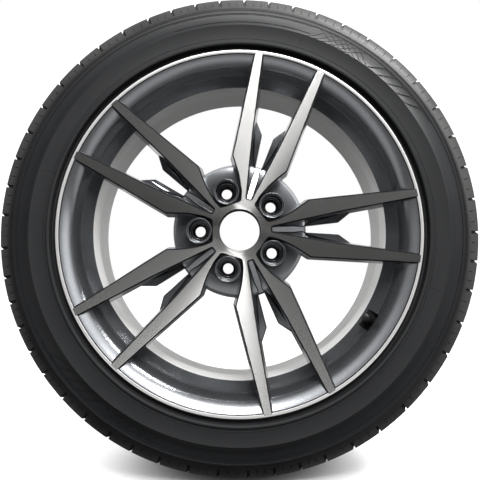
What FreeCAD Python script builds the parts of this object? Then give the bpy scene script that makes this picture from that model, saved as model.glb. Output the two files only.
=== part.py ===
import FreeCAD, Part
import math
import os

import Sketcher
from FreeCAD import Placement, Rotation, Vector

# A car wheel with its tyre: a cast wheel with five pairs of spokes, a radial tyre and a snap-in valve.
# Millimetres. The origin is the wheel centre, the axle runs along Y and the outer face looks along -Y.
# "Out" is the distance from the middle plane towards the outer face, so Y is minus out.
# Every piece is drawn with one bolt hole and the valve on +X, then turned about the axle by "clock".

SIZES = {
    # Turn of the whole wheel about its axle
    "clock": 34.8,
    # Rim section
    "seat_diameter": 462.0,
    "rim_width": 203.2,
    "flange_height": 17.5,
    "flange_width": 11.4,
    "flange_round": 9.5,
    "heel_round": 6.0,
    "lip_band": 5.8,
    "lip_edge": 1.0,
    "lip_step": 1.6,
    "cove_depth": 11.4,
    "cove_round": 30.0,
    "seat_width": 26.6,
    "seat_drop": 1.7,
    "seat_wall": 5.5,
    "well_depth": 18.0,
    "well_wall": 6.0,
    "well_slope": 16.0,
    "well_width": 39.0,
    "rear_slope": 28.0,
    "rear_drop": 4.0,
    "rear_wall": 8.0,
    # Hub and dish
    "bore_diameter": 57.1,
    "hub_ring_radius": 38.0,
    "hub_depth": 25.0,
    "wheel_offset": 45.0,
    "pad_radius": 80.0,
    "hub_edge": 92.6,
    "spoke_thickness": 33.0,
    "hub_back_step": 9.0,
    # Spoke outlines, along and across the middle line of a pair, at the turned face
    "pair_count": 5.0,
    "draft": 5.0,
    "outer_root_along": 96.2,
    "outer_root_across": 38.7,
    "outer_tip_along": 236.9,
    "outer_tip_across": 49.5,
    "inner_root_along": 43.9,
    "inner_root_across": 4.2,
    "inner_knee_along": 134.1,
    "inner_knee_across": 21.7,
    "inner_tip_along": 238.9,
    "inner_tip_across": 38.7,
    # Recess between the twin spokes and the narrow window behind it
    "recess_depth": 4.0,
    "recess_tilt": 4.0,
    "slot_root_across": 4.7,
    "slot_knee_along": 139.0,
    "slot_knee_across": 8.8,
    "slot_end_along": 162.0,
    # Bolt pockets, seen along the line of a bolt hole
    "pocket_floor": 16.0,
    "pocket_knee_along": 72.0,
    "pocket_knee_across": 24.5,
    "pocket_root_across": 16.2,
    "bolt_circle": 112.0,
    "bolt_hole": 15.0,
    "bolt_web": 9.0,
    "bolt_seat": 25.0,
    "socket_bore": 31.6,
    "collar_wall": 1.7,
    # Valve hole in the front slope of the rim
    "valve_radius": 218.0,
    "valve_out": 70.0,
    "valve_tilt": 22.0,
    "valve_hole": 11.5,
    "valve_web": 4.0,
    "valve_boss": 24.0,
    "valve_face": 21.0,
    "valve_recess_width": 26.0,
    "valve_recess_rise": 9.5,
    "valve_recess_fall": 14.0,
    # Tyre section
    "tyre_diameter": 668.7,
    "section_width": 236.0,
    "tread_width": 184.0,
    "tread_drop": 6.8,
    "shoulder_round": 28.0,
    "shoulder_radius": 306.0,
    "shoulder_in": 7.5,
    "widest_radius": 281.0,
    "upper_round": 45.5,
    "lower_round": 107.0,
    "rib_radius": 256.5,
    "rib_height": 2.2,
    "rib_width": 3.5,
    "rib_gap": 4.5,
    "crown_wall": 15.8,
    "side_wall": 7.5,
    "bead_width": 20.0,
    "bead_gap": 0.1,
    "groove_depth": 7.5,
    "inner_groove_out": 20.0,
    "inner_groove_width": 10.0,
    "outer_groove_out": 58.0,
    "outer_groove_width": 9.0,
    # Cross grooves of the tread
    "short_pitch": 6.2,
    "middle_pitch": 7.1,
    "long_pitch": 8.1,
    "slot_width": 4.0,
    "slot_depth": 6.5,
    "slot_lean": 12.0,
    "sipe_width": 2.0,
    "sipe_depth": 5.0,
    "sipe_length": 20.0,
    # Snap-in valve, along its own axis from the middle of the rim wall
    "stem_diameter": 7.7,
    "stem_top": 33.0,
    "stem_base": 8.8,
    "stem_bore": 3.4,
    "stem_edge": 0.7,
    "core_bore": 5.3,
    "core_depth": 12.5,
    "seat_cone": 1.7,
    "bulb_diameter": 19.0,
    "bulb_length": 7.0,
    "bulb_edge": 1.5,
    "snap_diameter": 14.8,
    "snap_length": 2.0,
    "cone_length": 6.0,
    "cone_diameter": 12.0,
    "rubber_top": 22.0,
    "rubber_top_diameter": 9.4,
    "rubber_wall_gap": 0.02,
    "plug_height": 5.0,
    "plug_depth": 1.0,
    "plug_slot": 1.2,
    "pin_diameter": 1.3,
    "pin_drop": 0.2,
    "pin_tail": 1.6,
    "collar_height": 0.7,
    "core_length": 13.0,
    "core_wall": 0.5,
    "core_ledge": 0.8,
    "core_gap": 0.05,
    "running_gap": 0.1,
    "cup_height": 1.2,
    "cup_gap": 0.05,
    "ring_wall": 0.85,
    "ring_height": 1.4,
    "spring_length": 6.0,
    "spring_wire": 0.26,
    "spring_turns": 6.0,
    "cap_diameter": 10.2,
    "cap_wall_top": 1.6,
    "cap_skirt_gap": 0.5,
    "cap_rib_count": 16.0,
    "cap_rib": 0.35,
    "seal_thickness": 1.0,
    "seal_lift": 0.15,
}

# Order of short, middle and long tread pitches once round the tyre
PITCH_ORDER = "MMLLLLLMMSSSMMMMSMMMSSSSMLMMMMMMSMMSSSSSSSMMLLLLLLL"


class Size:
    """A length or angle: its value and the sheet formula that gives it."""

    def __init__(self, value, text):
        self.value = value
        self.text = text

    def __add__(self, other):
        other = as_size(other)
        return Size(self.value + other.value, f"({self.text} + {other.text})")

    def __sub__(self, other):
        other = as_size(other)
        return Size(self.value - other.value, f"({self.text} - {other.text})")

    def __mul__(self, other):
        other = as_size(other)
        return Size(self.value * other.value, f"({self.text} * {other.text})")

    def __truediv__(self, other):
        other = as_size(other)
        return Size(self.value / other.value, f"({self.text} / {other.text})")

    def __neg__(self):
        return Size(-self.value, f"(0 - {self.text})")


def as_size(number):
    """A plain number as a Size; a Size stays as it is."""
    if isinstance(number, Size):
        return number
    return Size(float(number), f"({float(number)})")


def sine(angle):
    return Size(math.sin(math.radians(angle.value)), f"sin({angle.text})")


def cosine(angle):
    return Size(math.cos(math.radians(angle.value)), f"cos({angle.text})")


def tangent(angle):
    return Size(math.tan(math.radians(angle.value)), f"tan({angle.text})")


doc = FreeCAD.newDocument("wheel_and_tyre")
sheet = doc.addObject("Spreadsheet::Sheet", "Sizes")
for row, (alias, number) in enumerate(SIZES.items(), start=1):
    sheet.set(f"A{row}", alias)
    sheet.set(f"B{row}", str(number))
    sheet.setAlias(f"B{row}", alias)
doc.recompute()


def size(alias):
    """The sheet's cell of that name."""
    return Size(float(sheet.get(alias)), f"Sizes.{alias}")


def origin_feature(body, role):
    """A plane or axis of a body's own origin."""
    return next(item for item in body.Origin.OriginFeatures if item.Role == role)


def new_body(label):
    body = doc.addObject("PartDesign::Body", label)
    body.Label = label
    return body


def arc_between(start, end, radius, side):
    """Arc of a circle from start to end; side is 1 where the centre lies left of the way, -1 right."""
    chord = end - start
    middle = (start + end) * 0.5
    rise = math.sqrt(radius * radius - chord.Length * chord.Length / 4)
    left = Vector(-chord.y, chord.x, 0).normalize()
    centre = middle + left * (rise * side)
    first, last = (start, end) if side > 0 else (end, start)
    from_angle = math.atan2(first.y - centre.y, first.x - centre.x)
    to_angle = math.atan2(last.y - centre.y, last.x - centre.x)
    circle = Part.Circle(centre, Vector(0, 0, 1), radius)
    return Part.ArcOfCircle(circle, from_angle, to_angle)


def outline(body, name, role, corners, offset=None):
    """Closed sketch through corners (x, y), or (x, y, radius, side) where an arc leads to the next."""
    sketch = body.newObject("Sketcher::SketchObject", name)
    sketch.AttachmentSupport = [(origin_feature(body, role), "")]
    sketch.MapMode = "FlatFace"
    if offset is not None:
        sketch.AttachmentOffset = offset
    count = len(corners)
    points = [Vector(corner[0].value, corner[1].value, 0) for corner in corners]
    edges = []
    starts = []
    for index, corner in enumerate(corners):
        here, there = points[index], points[(index + 1) % count]
        if len(corner) == 2:
            edges.append(Part.LineSegment(here, there))
            starts.append(1)
        else:
            edges.append(arc_between(here, there, corner[2].value, corner[3]))
            starts.append(1 if corner[3] > 0 else 2)
    sketch.addGeometry(edges)
    rules = []
    formulas = {}
    for index, corner in enumerate(corners):
        before = (index - 1) % count
        rules.append(Sketcher.Constraint("Coincident", before, 3 - starts[before], index, starts[index]))
        for kind, place in (("DistanceX", corner[0]), ("DistanceY", corner[1])):
            formulas[len(rules)] = place.text
            rules.append(Sketcher.Constraint(kind, -1, 1, index, starts[index], place.value))
        if len(corner) > 2:
            formulas[len(rules)] = corner[2].text
            rules.append(Sketcher.Constraint("Radius", index, corner[2].value))
    sketch.addConstraint(rules)
    for index, formula in formulas.items():
        sketch.setExpression(f"Constraints[{index}]", formula)
    return sketch


def spin(body, name, sketch, role, kind="PartDesign::Revolution"):
    """Full turn of a sketch about an axis of the body's origin, added or cut away."""
    feature = body.newObject(kind, name)
    feature.Profile = sketch
    feature.ReferenceAxis = (origin_feature(body, role), [""])
    feature.Angle = 360.0
    body.Tip = feature
    return feature


def cut(body, name, sketch, depth, draft=None):
    """Cut from the sketch against its normal, narrowing by the draft angle."""
    feature = body.newObject("PartDesign::Pocket", name)
    feature.Profile = sketch
    feature.Length = depth.value
    feature.setExpression("Length", depth.text)
    if draft is not None:
        feature.TaperAngle = -draft.value
        feature.setExpression("TaperAngle", (-draft).text)
    body.Tip = feature
    return feature


def around(body, name, feature, count):
    """Copies of a feature evenly round the axle."""
    pattern = body.newObject("PartDesign::PolarPattern", name)
    pattern.Originals = [feature]
    pattern.Axis = (origin_feature(body, "Y_Axis"), [""])
    pattern.Angle = 360.0
    pattern.Occurrences = int(count.value)
    pattern.setExpression("Occurrences", count.text)
    body.Tip = pattern
    return pattern


def section(radius, out, *arc):
    """A corner of a section through the axle, in the sketch plane XY."""
    return (radius, -out, *arc)


def both_sides(corners):
    """Corners of the upper outline, mirrored for the lower half of a pointed outline."""
    return corners + [(x, -y) for x, y in reversed(corners)]


# Levels and radii that several pieces share
seat = size("seat_diameter") / 2
flange = seat + size("flange_height")
half = size("rim_width") / 2
lip = half + size("flange_width")
lip_inner = flange - size("lip_band")
well_outer = seat - size("well_depth")
well_inner = well_outer - size("well_wall")
seat_inner = seat - size("seat_drop") - size("seat_wall")
seat_end = half - size("seat_width")
well_start = seat_end - size("well_slope")
well_end = well_start - size("well_width")
bore = size("bore_diameter") / 2
hub_front = lip - size("hub_depth")
hub_ring = size("hub_ring_radius")
face_fall = size("hub_depth") / (lip_inner - hub_ring)
clock_turn = Rotation(Vector(0, 1, 0), size("clock").value)


def face_out(radius):
    """How far out the turned face of the spokes lies at a radius."""
    return hub_front + (radius - hub_ring) * face_fall


def add_dish(body):
    """Hub and a whole dish, from which the spokes are cut."""
    thickness = size("spoke_thickness")
    mount = size("wheel_offset")
    middle = (size("pad_radius") + well_inner) / 2
    buried = size("seat_wall") / 2
    corners = [
        section(bore, mount),
        section(size("pad_radius"), mount),
        section(size("hub_edge"), mount + size("hub_back_step")),
        section(middle, face_out(middle) - thickness),
        section(well_inner + buried, well_start + size("well_wall") - buried),
        section(seat_inner + buried, seat_end + size("well_wall") - size("lip_edge")),
        section(seat_inner + buried * 2, lip - size("lip_step") - size("cove_depth") - buried),
        section(lip_inner + size("lip_edge") * 2, lip - buried * 1.5),
        section(lip_inner + size("lip_edge") * 2, lip),
        section(lip_inner, lip),
        section(hub_ring, hub_front),
        section(bore, hub_front),
    ]
    spin(body, "dish", outline(body, "dish_section", "XY_Plane", corners), "Y_Axis")


def add_rim(body):
    """Rim section: machined lip, cove, bead seats, well and rear barrel."""
    step = lip - size("lip_step")
    edge = size("lip_edge")
    heel = size("heel_round")
    fold = size("flange_round")
    rear_inner = seat - size("rear_wall")
    rise = well_end - size("rear_slope")
    corners = [
        section(flange - edge, lip),
        section(flange, lip - edge),
        section(flange, half + fold, fold, 1),
        section(flange - fold, half),
        section(seat + heel, half, heel, -1),
        section(seat, half - heel),
        section(seat - size("seat_drop"), seat_end),
        section(well_outer, well_start),
        section(well_outer, well_end),
        section(seat - size("rear_drop"), rise),
        section(seat - size("seat_drop"), -seat_end),
        section(seat, heel - half, heel, -1),
        section(seat + heel, -half),
        section(flange - fold, -half, fold, 1),
        section(flange, -half - fold),
        section(flange, edge - lip),
        section(flange - edge, -lip),
        section(rear_inner + edge * 2, -lip),
        section(rear_inner, edge * 2 - lip),
        section(rear_inner, rise - size("well_wall")),
        section(well_inner, well_end + edge * 2),
        section(well_inner, well_start + size("well_wall")),
        section(seat_inner, seat_end + size("well_wall")),
        section(seat_inner + edge * 2, step - size("cove_depth"), size("cove_round"), -1),
        section(lip_inner - edge, step),
        section(lip_inner, step),
        section(lip_inner, lip),
    ]
    spin(body, "rim", outline(body, "rim_section", "XY_Plane", corners), "Y_Axis")


def cut_windows(body):
    """Bolt pockets, recesses and windows that leave five pairs of spokes."""
    pairs = size("pair_count")
    half_turn = Size(180.0, "180") / pairs
    draft = size("draft")
    start = lip + size("lip_edge")
    through = start - size("wheel_offset") + size("hub_back_step")
    front = Placement(Vector(0, 0, start.value), Rotation())
    beyond = flange * 1.25

    def widen(along, across):
        """Half width at the start plane that narrows to the given one at the turned face."""
        return across + (start - face_out(along)) * tangent(draft)

    def from_bolt(along, across):
        """A point beside a pair of spokes, seen along the line of the bolt hole."""
        x = along * cosine(half_turn) + across * sine(half_turn)
        y = along * sine(half_turn) - across * cosine(half_turn)
        return x, y

    # Bolt pockets, open towards the wide windows
    root = size("outer_root_along"), size("outer_root_across")
    root_fall = (start - face_out(root[0])) * tangent(draft)
    pocket_mouth = from_bolt(root[0], root[1] - root_fall)
    pocket_root = hub_ring - (start - hub_front) * tangent(draft)
    pocket = both_sides([
        (pocket_root, widen(hub_ring, size("pocket_root_across"))),
        (size("pocket_knee_along"), widen(size("pocket_knee_along"), size("pocket_knee_across"))),
        pocket_mouth,
    ])
    floor = hub_front - size("pocket_floor")
    sketch = outline(body, "bolt_pocket_outline", "XZ_Plane", pocket, front)
    around(body, "bolt_pockets", cut(body, "bolt_pocket", sketch, start - floor, draft), pairs)

    # Wide windows between the pairs
    slope = (size("outer_tip_across") - size("outer_root_across"))
    slope = slope / (size("outer_tip_along") - size("outer_root_along"))
    far_across = size("outer_tip_across") + (beyond - size("outer_tip_along")) * slope
    hub_edge = size("hub_edge") - (start - floor) * tangent(draft)
    window = both_sides([
        (hub_edge, pocket_mouth[1]),
        pocket_mouth,
        from_bolt(beyond, far_across),
    ])
    sketch = outline(body, "wide_window_outline", "XZ_Plane", window, front)
    around(body, "wide_windows", cut(body, "wide_window", sketch, through, draft), pairs)

    # Sloping recess between the twin spokes
    turned = Rotation(Vector(0, 0, 1), half_turn.value)
    tilted = turned.multiply(Rotation(Vector(0, 1, 0), size("recess_tilt").value))
    knee = size("inner_knee_along"), size("inner_knee_across")
    end_along = size("slot_end_along")
    tip_slope = size("inner_tip_across") - knee[1]
    tip_slope = tip_slope / (size("inner_tip_along") - knee[0])
    end_across = knee[1] + (end_along - knee[0]) * tip_slope
    recess = both_sides([
        (size("inner_root_along"), widen(size("inner_root_along"), size("inner_root_across"))),
        (knee[0], widen(knee[0], knee[1])),
        (end_along + size("recess_depth") * 2, widen(end_along, end_across)),
    ])
    depth = start - hub_front + size("recess_depth")
    sketch = outline(body, "recess_outline", "XZ_Plane", recess, Placement(front.Base, tilted))
    around(body, "recesses", cut(body, "recess", sketch, depth, draft), pairs)

    # Narrow slots in the recess, which open into the forks between the spokes
    ledge = size("recess_depth") + size("slot_knee_along") * tangent(size("recess_tilt"))
    ledge_fall = (start - hub_front + ledge) * tangent(draft)
    slot_knee = size("slot_knee_along"), size("slot_knee_across") + ledge_fall
    slot = both_sides([
        (size("hub_edge") - ledge_fall, size("slot_root_across") + ledge_fall),
        (slot_knee[0] + ledge_fall * 3, slot_knee[1]),
    ])
    sketch = outline(body, "slot_outline", "XZ_Plane", slot, Placement(front.Base, turned))
    around(body, "slots", cut(body, "slot", sketch, through, draft), pairs)
    fork = both_sides([
        slot_knee,
        (end_along, widen(end_along, end_across)),
        (beyond, size("inner_tip_across") + (beyond - size("inner_tip_along")) * tip_slope),
    ])
    sketch = outline(body, "fork_outline", "XZ_Plane", fork, Placement(front.Base, turned))
    around(body, "forks", cut(body, "fork", sketch, through, draft), pairs)


def add_bolt_seats(body):
    """Turned collars with deep sockets, tapered seats and bolt holes."""
    pairs = size("pair_count")
    reach = size("bolt_circle") / 2
    socket = size("socket_bore") / 2
    top = face_out(reach)
    mount = size("wheel_offset")
    floor = hub_front - size("pocket_floor")
    collar_base = floor - size("collar_wall")

    collar = body.newObject("Sketcher::SketchObject", "collar_outline")
    collar.AttachmentSupport = [(origin_feature(body, "XZ_Plane"), "")]
    collar.MapMode = "FlatFace"
    collar.AttachmentOffset = Placement(Vector(0, 0, collar_base.value), Rotation())
    radius = socket + size("collar_wall")
    collar.addGeometry(Part.Circle(Vector(reach.value, 0, 0), Vector(0, 0, 1), radius.value))
    collar.addConstraint([
        Sketcher.Constraint("DistanceX", -1, 1, 0, 3, reach.value),
        Sketcher.Constraint("PointOnObject", 0, 3, -1),
        Sketcher.Constraint("Radius", 0, radius.value),
    ])
    collar.setExpression("Constraints[0]", reach.text)
    collar.setExpression("Constraints[2]", radius.text)
    pad = body.newObject("PartDesign::Pad", "collar")
    pad.Profile = collar
    height = top - collar_base
    pad.Length = height.value
    pad.setExpression("Length", height.text)
    body.Tip = pad
    around(body, "collars", pad, pairs)

    hole = size("bolt_hole") / 2
    seat_radius = size("bolt_seat") / 2
    seat_base = mount + size("bolt_web")
    seat_top = seat_base + (seat_radius - hole) / tangent(Size(30.0, "30"))
    clear = size("collar_wall") * 3
    corners = [
        section(reach, mount - clear),
        section(reach + hole, mount - clear),
        section(reach + hole, seat_base),
        section(reach + seat_radius, seat_top),
        section(reach + socket, seat_top),
        section(reach + socket, top + clear),
        section(reach, top + clear),
    ]
    sketch = outline(body, "bolt_hole_section", "XY_Plane", corners)
    drill = body.newObject("PartDesign::Groove", "bolt_hole")
    drill.Profile = sketch
    drill.ReferenceAxis = (sketch, [f"Edge{len(corners)}"])
    drill.Angle = 360.0
    body.Tip = drill
    around(body, "bolt_holes", drill, pairs)


def valve_point(along, across):
    """A point of the section beside the valve: along its axis outwards, and across it."""
    tilt = size("valve_tilt")
    radius = size("valve_radius") - along * sine(tilt) + across * cosine(tilt)
    out = size("valve_out") + along * cosine(tilt) + across * sine(tilt)
    return section(radius, out)


def turn_about_valve(body, name, kind, corners):
    """Full turn about the first edge of the outline, which lies on the valve axis."""
    sketch = outline(body, name + "_section", "XY_Plane", corners)
    feature = body.newObject(kind, name)
    feature.Profile = sketch
    feature.ReferenceAxis = (sketch, ["Edge1"])
    feature.Angle = 360.0
    body.Tip = feature


def add_valve_seat(body):
    """Flat wall with the valve hole, in a square recess of the front slope."""
    zero = as_size(0)
    wall = size("valve_web") / 2
    boss = size("valve_boss") / 2
    face = size("valve_face") / 2
    hole = size("valve_hole") / 2
    reach = size("bulb_length") * 2
    turn_about_valve(body, "valve_boss", "PartDesign::Revolution", [
        valve_point(-wall, zero),
        valve_point(wall, zero),
        valve_point(wall, boss),
        valve_point(-wall, boss),
    ])
    turn_about_valve(body, "valve_hole", "PartDesign::Groove", [
        valve_point(-reach, zero),
        valve_point(reach, zero),
        valve_point(reach, hole),
        valve_point(-wall, hole),
        valve_point(-wall, face),
        valve_point(-reach, face),
    ])
    sketch = outline(body, "valve_recess_section", "XY_Plane", [
        valve_point(wall, -size("valve_recess_fall")),
        valve_point(wall, size("valve_recess_rise")),
        valve_point(reach, size("valve_recess_rise") + wall),
        valve_point(reach, -size("valve_recess_fall")),
    ])
    pocket = body.newObject("PartDesign::Pocket", "valve_recess")
    pocket.Profile = sketch
    pocket.Midplane = True
    pocket.Length = size("valve_recess_width").value
    pocket.setExpression("Length", size("valve_recess_width").text)
    body.Tip = pocket


def turn_to_clock(piece):
    """Turn a piece about the axle to its place."""
    piece.Placement = Placement(Vector(0, 0, 0), clock_turn)
    piece.setExpression("Placement.Rotation.Angle", size("clock").text)


def make_alloy_wheel():
    """The whole wheel is one casting, turned on its face after painting."""
    dish = new_body("spoked_dish")
    add_dish(dish)
    cut_windows(dish)
    add_bolt_seats(dish)
    rim = new_body("rim_ring")
    add_rim(rim)
    add_valve_seat(rim)
    wheel = doc.addObject("Part::Fuse", "alloy_wheel")
    wheel.Label = "alloy_wheel"
    wheel.Base = dish
    wheel.Tool = rim
    turn_to_clock(wheel)
    return wheel


crown = size("tyre_diameter") / 2
tread_half = size("tread_width") / 2
widest = size("section_width") / 2


def tread_radius(out):
    """Radius of the crown at a distance from the middle plane."""
    return crown - size("tread_drop") * (out / tread_half) * (out / tread_half)


def tyre_half_section():
    """Outer and inner corners of the tyre's outer half, from the middle of the crown to the bead."""
    gap = size("bead_gap")
    heel = size("heel_round")
    fold = size("flange_round")
    crown_round = tread_half * tread_half / (size("tread_drop") * 2)
    rib = size("rib_radius")
    hug = Size(60.0, "60")
    hug_round = fold + gap
    outer = []
    for groove in ("inner_groove", "outer_groove"):
        place, width = size(groove + "_out"), size(groove + "_width")
        near = place - width / 2
        far = place + width / 2
        depth = size("groove_depth")
        outer.append((tread_radius(near), near))
        outer.append((tread_radius(near) - depth, near + depth / 8))
        outer.append((tread_radius(far) - depth, far - depth / 8))
        outer.append((tread_radius(far), far, crown_round))
    outer += [
        (tread_radius(tread_half), tread_half, size("shoulder_round")),
        (size("shoulder_radius"), widest - size("shoulder_in"), size("upper_round")),
        (size("widest_radius"), widest, size("lower_round")),
        (rib + size("rib_height"), widest - size("rib_height")),
        (rib, widest),
        (rib - size("rib_width"), widest - size("lip_edge")),
        (flange + size("rib_gap"), lip - size("lip_edge")),
        (flange + size("rib_gap"), half + fold / 2 + size("lip_edge")),
        (flange - fold + hug_round * sine(hug), half + fold - hug_round * cosine(hug), hug_round, "in"),
        (flange - fold, half - gap),
        (seat + heel, half - gap, heel - gap),
        (seat + gap, half - heel),
    ]
    toe_out = half - size("bead_width")
    toe_fall = size("seat_drop") * (size("bead_width") - heel) / (size("seat_width") - heel)
    wall = size("side_wall")
    inner = [
        (seat + gap - toe_fall, toe_out),
        (seat + wall / 2, toe_out - size("lip_edge")),
        (flange + wall / 2, half - wall),
        (size("widest_radius"), widest - wall),
        (size("shoulder_radius"), widest - size("shoulder_in") - wall),
        (crown - size("tread_drop") - size("crown_wall") + wall / 2, tread_half - wall),
    ]
    return outer, inner


def make_tyre():
    """Moulded tyre: crown with grooves all round, shoulders, side walls, rim guard and beads."""
    body = new_body("tyre_carcass")
    outer, inner = tyre_half_section()
    chain = outer + inner
    upper = []
    for corner in chain:
        if len(corner) == 2:
            upper.append(section(*corner))
        else:
            side = 1 if corner[-1] == "in" else -1
            upper.append(section(corner[0], corner[1], corner[2], side))
    lower = []
    for index in range(len(chain) - 1, -1, -1):
        radius, out = chain[index][0], -chain[index][1]
        leading = chain[index - 1] if index > 0 else chain[0]
        if index > 0 and len(leading) > 2:
            side = 1 if leading[-1] == "in" else -1
            lower.append(section(radius, out, leading[2], side))
        else:
            lower.append(section(radius, out))
    spin(body, "carcass", outline(body, "tyre_section", "XY_Plane", upper + lower), "Y_Axis")

    cutters = doc.addObject("Part::Feature", "tread_cutters")
    cutters.Shape = tread_cutters()
    tyre = doc.addObject("Part::Cut", "tyre")
    tyre.Label = "tyre"
    tyre.Base = body
    tyre.Tool = cutters
    return tyre


def groove_blade(profile, width, middle, lean, angle, mirrored):
    """Plate of a groove's profile, leaning about the radius at its middle, at an angle round the tyre."""
    sign = -1 if mirrored else 1
    points = [Vector(radius.value, -sign * out.value, -width.value / 2) for radius, out in profile]
    face = Part.Face(Part.makePolygon(points + points[:1]))
    blade = face.extrude(Vector(0, 0, width.value))
    blade.rotate(Vector(0, -sign * middle.value, 0), Vector(1, 0, 0), lean.value)
    blade.rotate(Vector(0, 0, 0), Vector(0, 1, 0), angle)
    return blade


def tread_cutters():
    """Cross grooves of both shoulders and slots of the two middle ribs, one of each to a pitch."""
    clear = crown + size("groove_depth")
    groove = size("outer_groove_out")
    groove_half = size("outer_groove_width") / 2
    depth = size("slot_depth")
    shoulder = size("shoulder_radius")
    shoulder_out = widest - size("shoulder_in")
    slot = [
        (clear, groove),
        (tread_radius(groove) - depth, groove),
        (tread_radius(tread_half) - depth, tread_half - depth / 2),
        (shoulder + depth / 2, shoulder_out - depth / 2),
        (shoulder + depth / 4, shoulder_out + depth),
        (clear, shoulder_out + depth),
    ]
    slot_middle = (tread_half + groove) / 2
    near = groove - groove_half - size("sipe_length")
    sipe = [
        (clear, near),
        (tread_radius(near) - size("sipe_depth"), near),
        (tread_radius(groove) - size("sipe_depth"), groove - groove_half / 2),
        (clear, groove - groove_half / 2),
    ]
    sipe_middle = near + size("sipe_length") / 2
    lean = size("slot_lean")
    pitches = {"S": size("short_pitch"), "M": size("middle_pitch"), "L": size("long_pitch")}
    whole = sum(pitches[letter].value for letter in PITCH_ORDER)
    blades = []
    angle = 0.0
    for letter in PITCH_ORDER:
        step = pitches[letter].value * 360 / whole
        for mirrored in (False, True):
            beside = angle + step / 2
            blades += [
                groove_blade(slot, size("slot_width"), slot_middle, lean, angle, mirrored),
                groove_blade(sipe, size("sipe_width"), sipe_middle, lean * 2, beside, mirrored),
            ]
        angle += step
    return Part.makeCompound(blades)


def place_on_valve(body, lift=Size(0.0, "0")):
    """Move a piece drawn along Z to the valve hole, with Z out of the hole and lifted along it."""
    tilt = size("valve_tilt")
    clock = size("clock")
    axis = Vector(-sine(tilt).value, -cosine(tilt).value, 0)
    radius = size("valve_radius") - lift * sine(tilt)
    out = size("valve_out") + lift * cosine(tilt)
    upright = Placement(Vector(radius.value, -out.value, 0), Rotation(Vector(0, 0, 1), axis))
    body.Placement = Placement(Vector(0, 0, 0), clock_turn).multiply(upright)
    body.setExpression("Placement.Base.x", (radius * cosine(clock)).text)
    body.setExpression("Placement.Base.y", (-out).text)
    body.setExpression("Placement.Base.z", (-(radius * sine(clock))).text)


def turned_piece(label, corners):
    """A round piece of the valve, from corners of radius and height."""
    body = new_body(label)
    spin(body, label + "_turned", outline(body, label + "_section", "XZ_Plane", corners), "Z_Axis")
    place_on_valve(body)
    return body


# Levels along the valve that several pieces share
stem_radius = size("stem_diameter") / 2
stem_bore = size("stem_bore") / 2
core_bore = size("core_bore") / 2
core_base = size("stem_top") - size("core_depth")
plug_top = size("stem_top") - size("plug_depth")
plug_base = plug_top - size("plug_height")
core_bottom = plug_base - size("core_length")
core_outer = stem_bore - size("core_gap")
core_inner = core_outer - size("core_wall")
pin_radius = size("pin_diameter") / 2
spring_base = core_bottom + size("core_ledge")
collar_base = spring_base + size("spring_length")


def make_valve_body():
    """Rubber body snapped into the rim hole: bulb inside, snap ridge and cone outside."""
    hole = size("valve_hole") / 2 - size("core_gap")
    wall = size("valve_web") / 2 + size("core_gap")
    bulb = size("bulb_diameter") / 2
    edge = size("bulb_edge")
    inside = stem_radius + size("rubber_wall_gap")
    snap = size("snap_diameter") / 2
    snap_top = wall + size("snap_length")
    return turned_piece("valve_body", [
        (inside, -wall - size("bulb_length")),
        (bulb - edge, -wall - size("bulb_length")),
        (bulb, edge - wall - size("bulb_length")),
        (bulb, -wall - edge),
        (bulb - edge, -wall),
        (hole, -wall),
        (hole, wall),
        (snap, wall),
        (snap, snap_top),
        (size("cone_diameter") / 2, snap_top + size("cone_length")),
        (size("rubber_top_diameter") / 2, size("rubber_top")),
        (inside, size("rubber_top")),
    ])


def make_valve_stem():
    """Brass stem with a wide bore for the core and a seat cone below it."""
    edge = size("stem_edge")
    return turned_piece("valve_stem", [
        (stem_bore, -size("stem_base")),
        (stem_radius, -size("stem_base")),
        (stem_radius, size("stem_top") - edge),
        (stem_radius - edge, size("stem_top")),
        (core_bore, size("stem_top")),
        (core_bore, core_base),
        (stem_bore, core_base - size("seat_cone")),
    ])


def make_core_plug():
    """Screwed plug of the valve core, slotted across for its key."""
    body = turned_piece("core_plug", [
        (pin_radius + size("running_gap"), plug_base),
        (core_bore - size("core_gap"), plug_base),
        (core_bore - size("core_gap"), plug_top),
        (pin_radius + size("running_gap"), plug_top),
    ])
    width = size("plug_slot") / 2
    reach = core_bore * 2
    slot = outline(body, "plug_slot_outline", "XZ_Plane", [
        (-width, plug_top - size("plug_height") / 3),
        (width, plug_top - size("plug_height") / 3),
        (width, plug_top + width),
        (-width, plug_top + width),
    ])
    pocket = body.newObject("PartDesign::Pocket", "plug_slot")
    pocket.Profile = slot
    pocket.Midplane = True
    pocket.Length = reach.value
    pocket.setExpression("Length", reach.text)
    body.Tip = pocket
    return body


def make_core_barrel():
    """Thin tube of the core, hung under the plug, with a ledge for the spring."""
    return turned_piece("core_barrel", [
        (pin_radius + size("running_gap"), core_bottom),
        (core_outer, core_bottom),
        (core_outer, plug_base),
        (core_inner, plug_base),
        (core_inner, spring_base),
        (pin_radius + size("running_gap"), spring_base),
    ])


def make_core_seal():
    """Sealing ring round the core, on the seat cone of the stem."""
    return turned_piece("core_seal", [
        (core_outer + size("rubber_wall_gap"), core_base + size("core_gap")),
        (core_outer + size("ring_wall"), core_base + size("core_gap")),
        (core_outer + size("ring_wall"), core_base + size("ring_height")),
        (core_outer + size("rubber_wall_gap"), core_base + size("ring_height")),
    ])


def make_core_pin():
    """Pin through the core, with the collar that the spring lifts."""
    collar = core_inner - size("running_gap")
    tail = core_bottom - size("cup_gap") - size("cup_height") - size("pin_tail")
    zero = as_size(0)
    return turned_piece("core_pin", [
        (zero, tail),
        (pin_radius, tail),
        (pin_radius, collar_base),
        (collar, collar_base),
        (collar, collar_base + size("collar_height")),
        (pin_radius, collar_base + size("collar_height")),
        (pin_radius, size("stem_top") - size("pin_drop")),
        (zero, size("stem_top") - size("pin_drop")),
    ])


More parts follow.
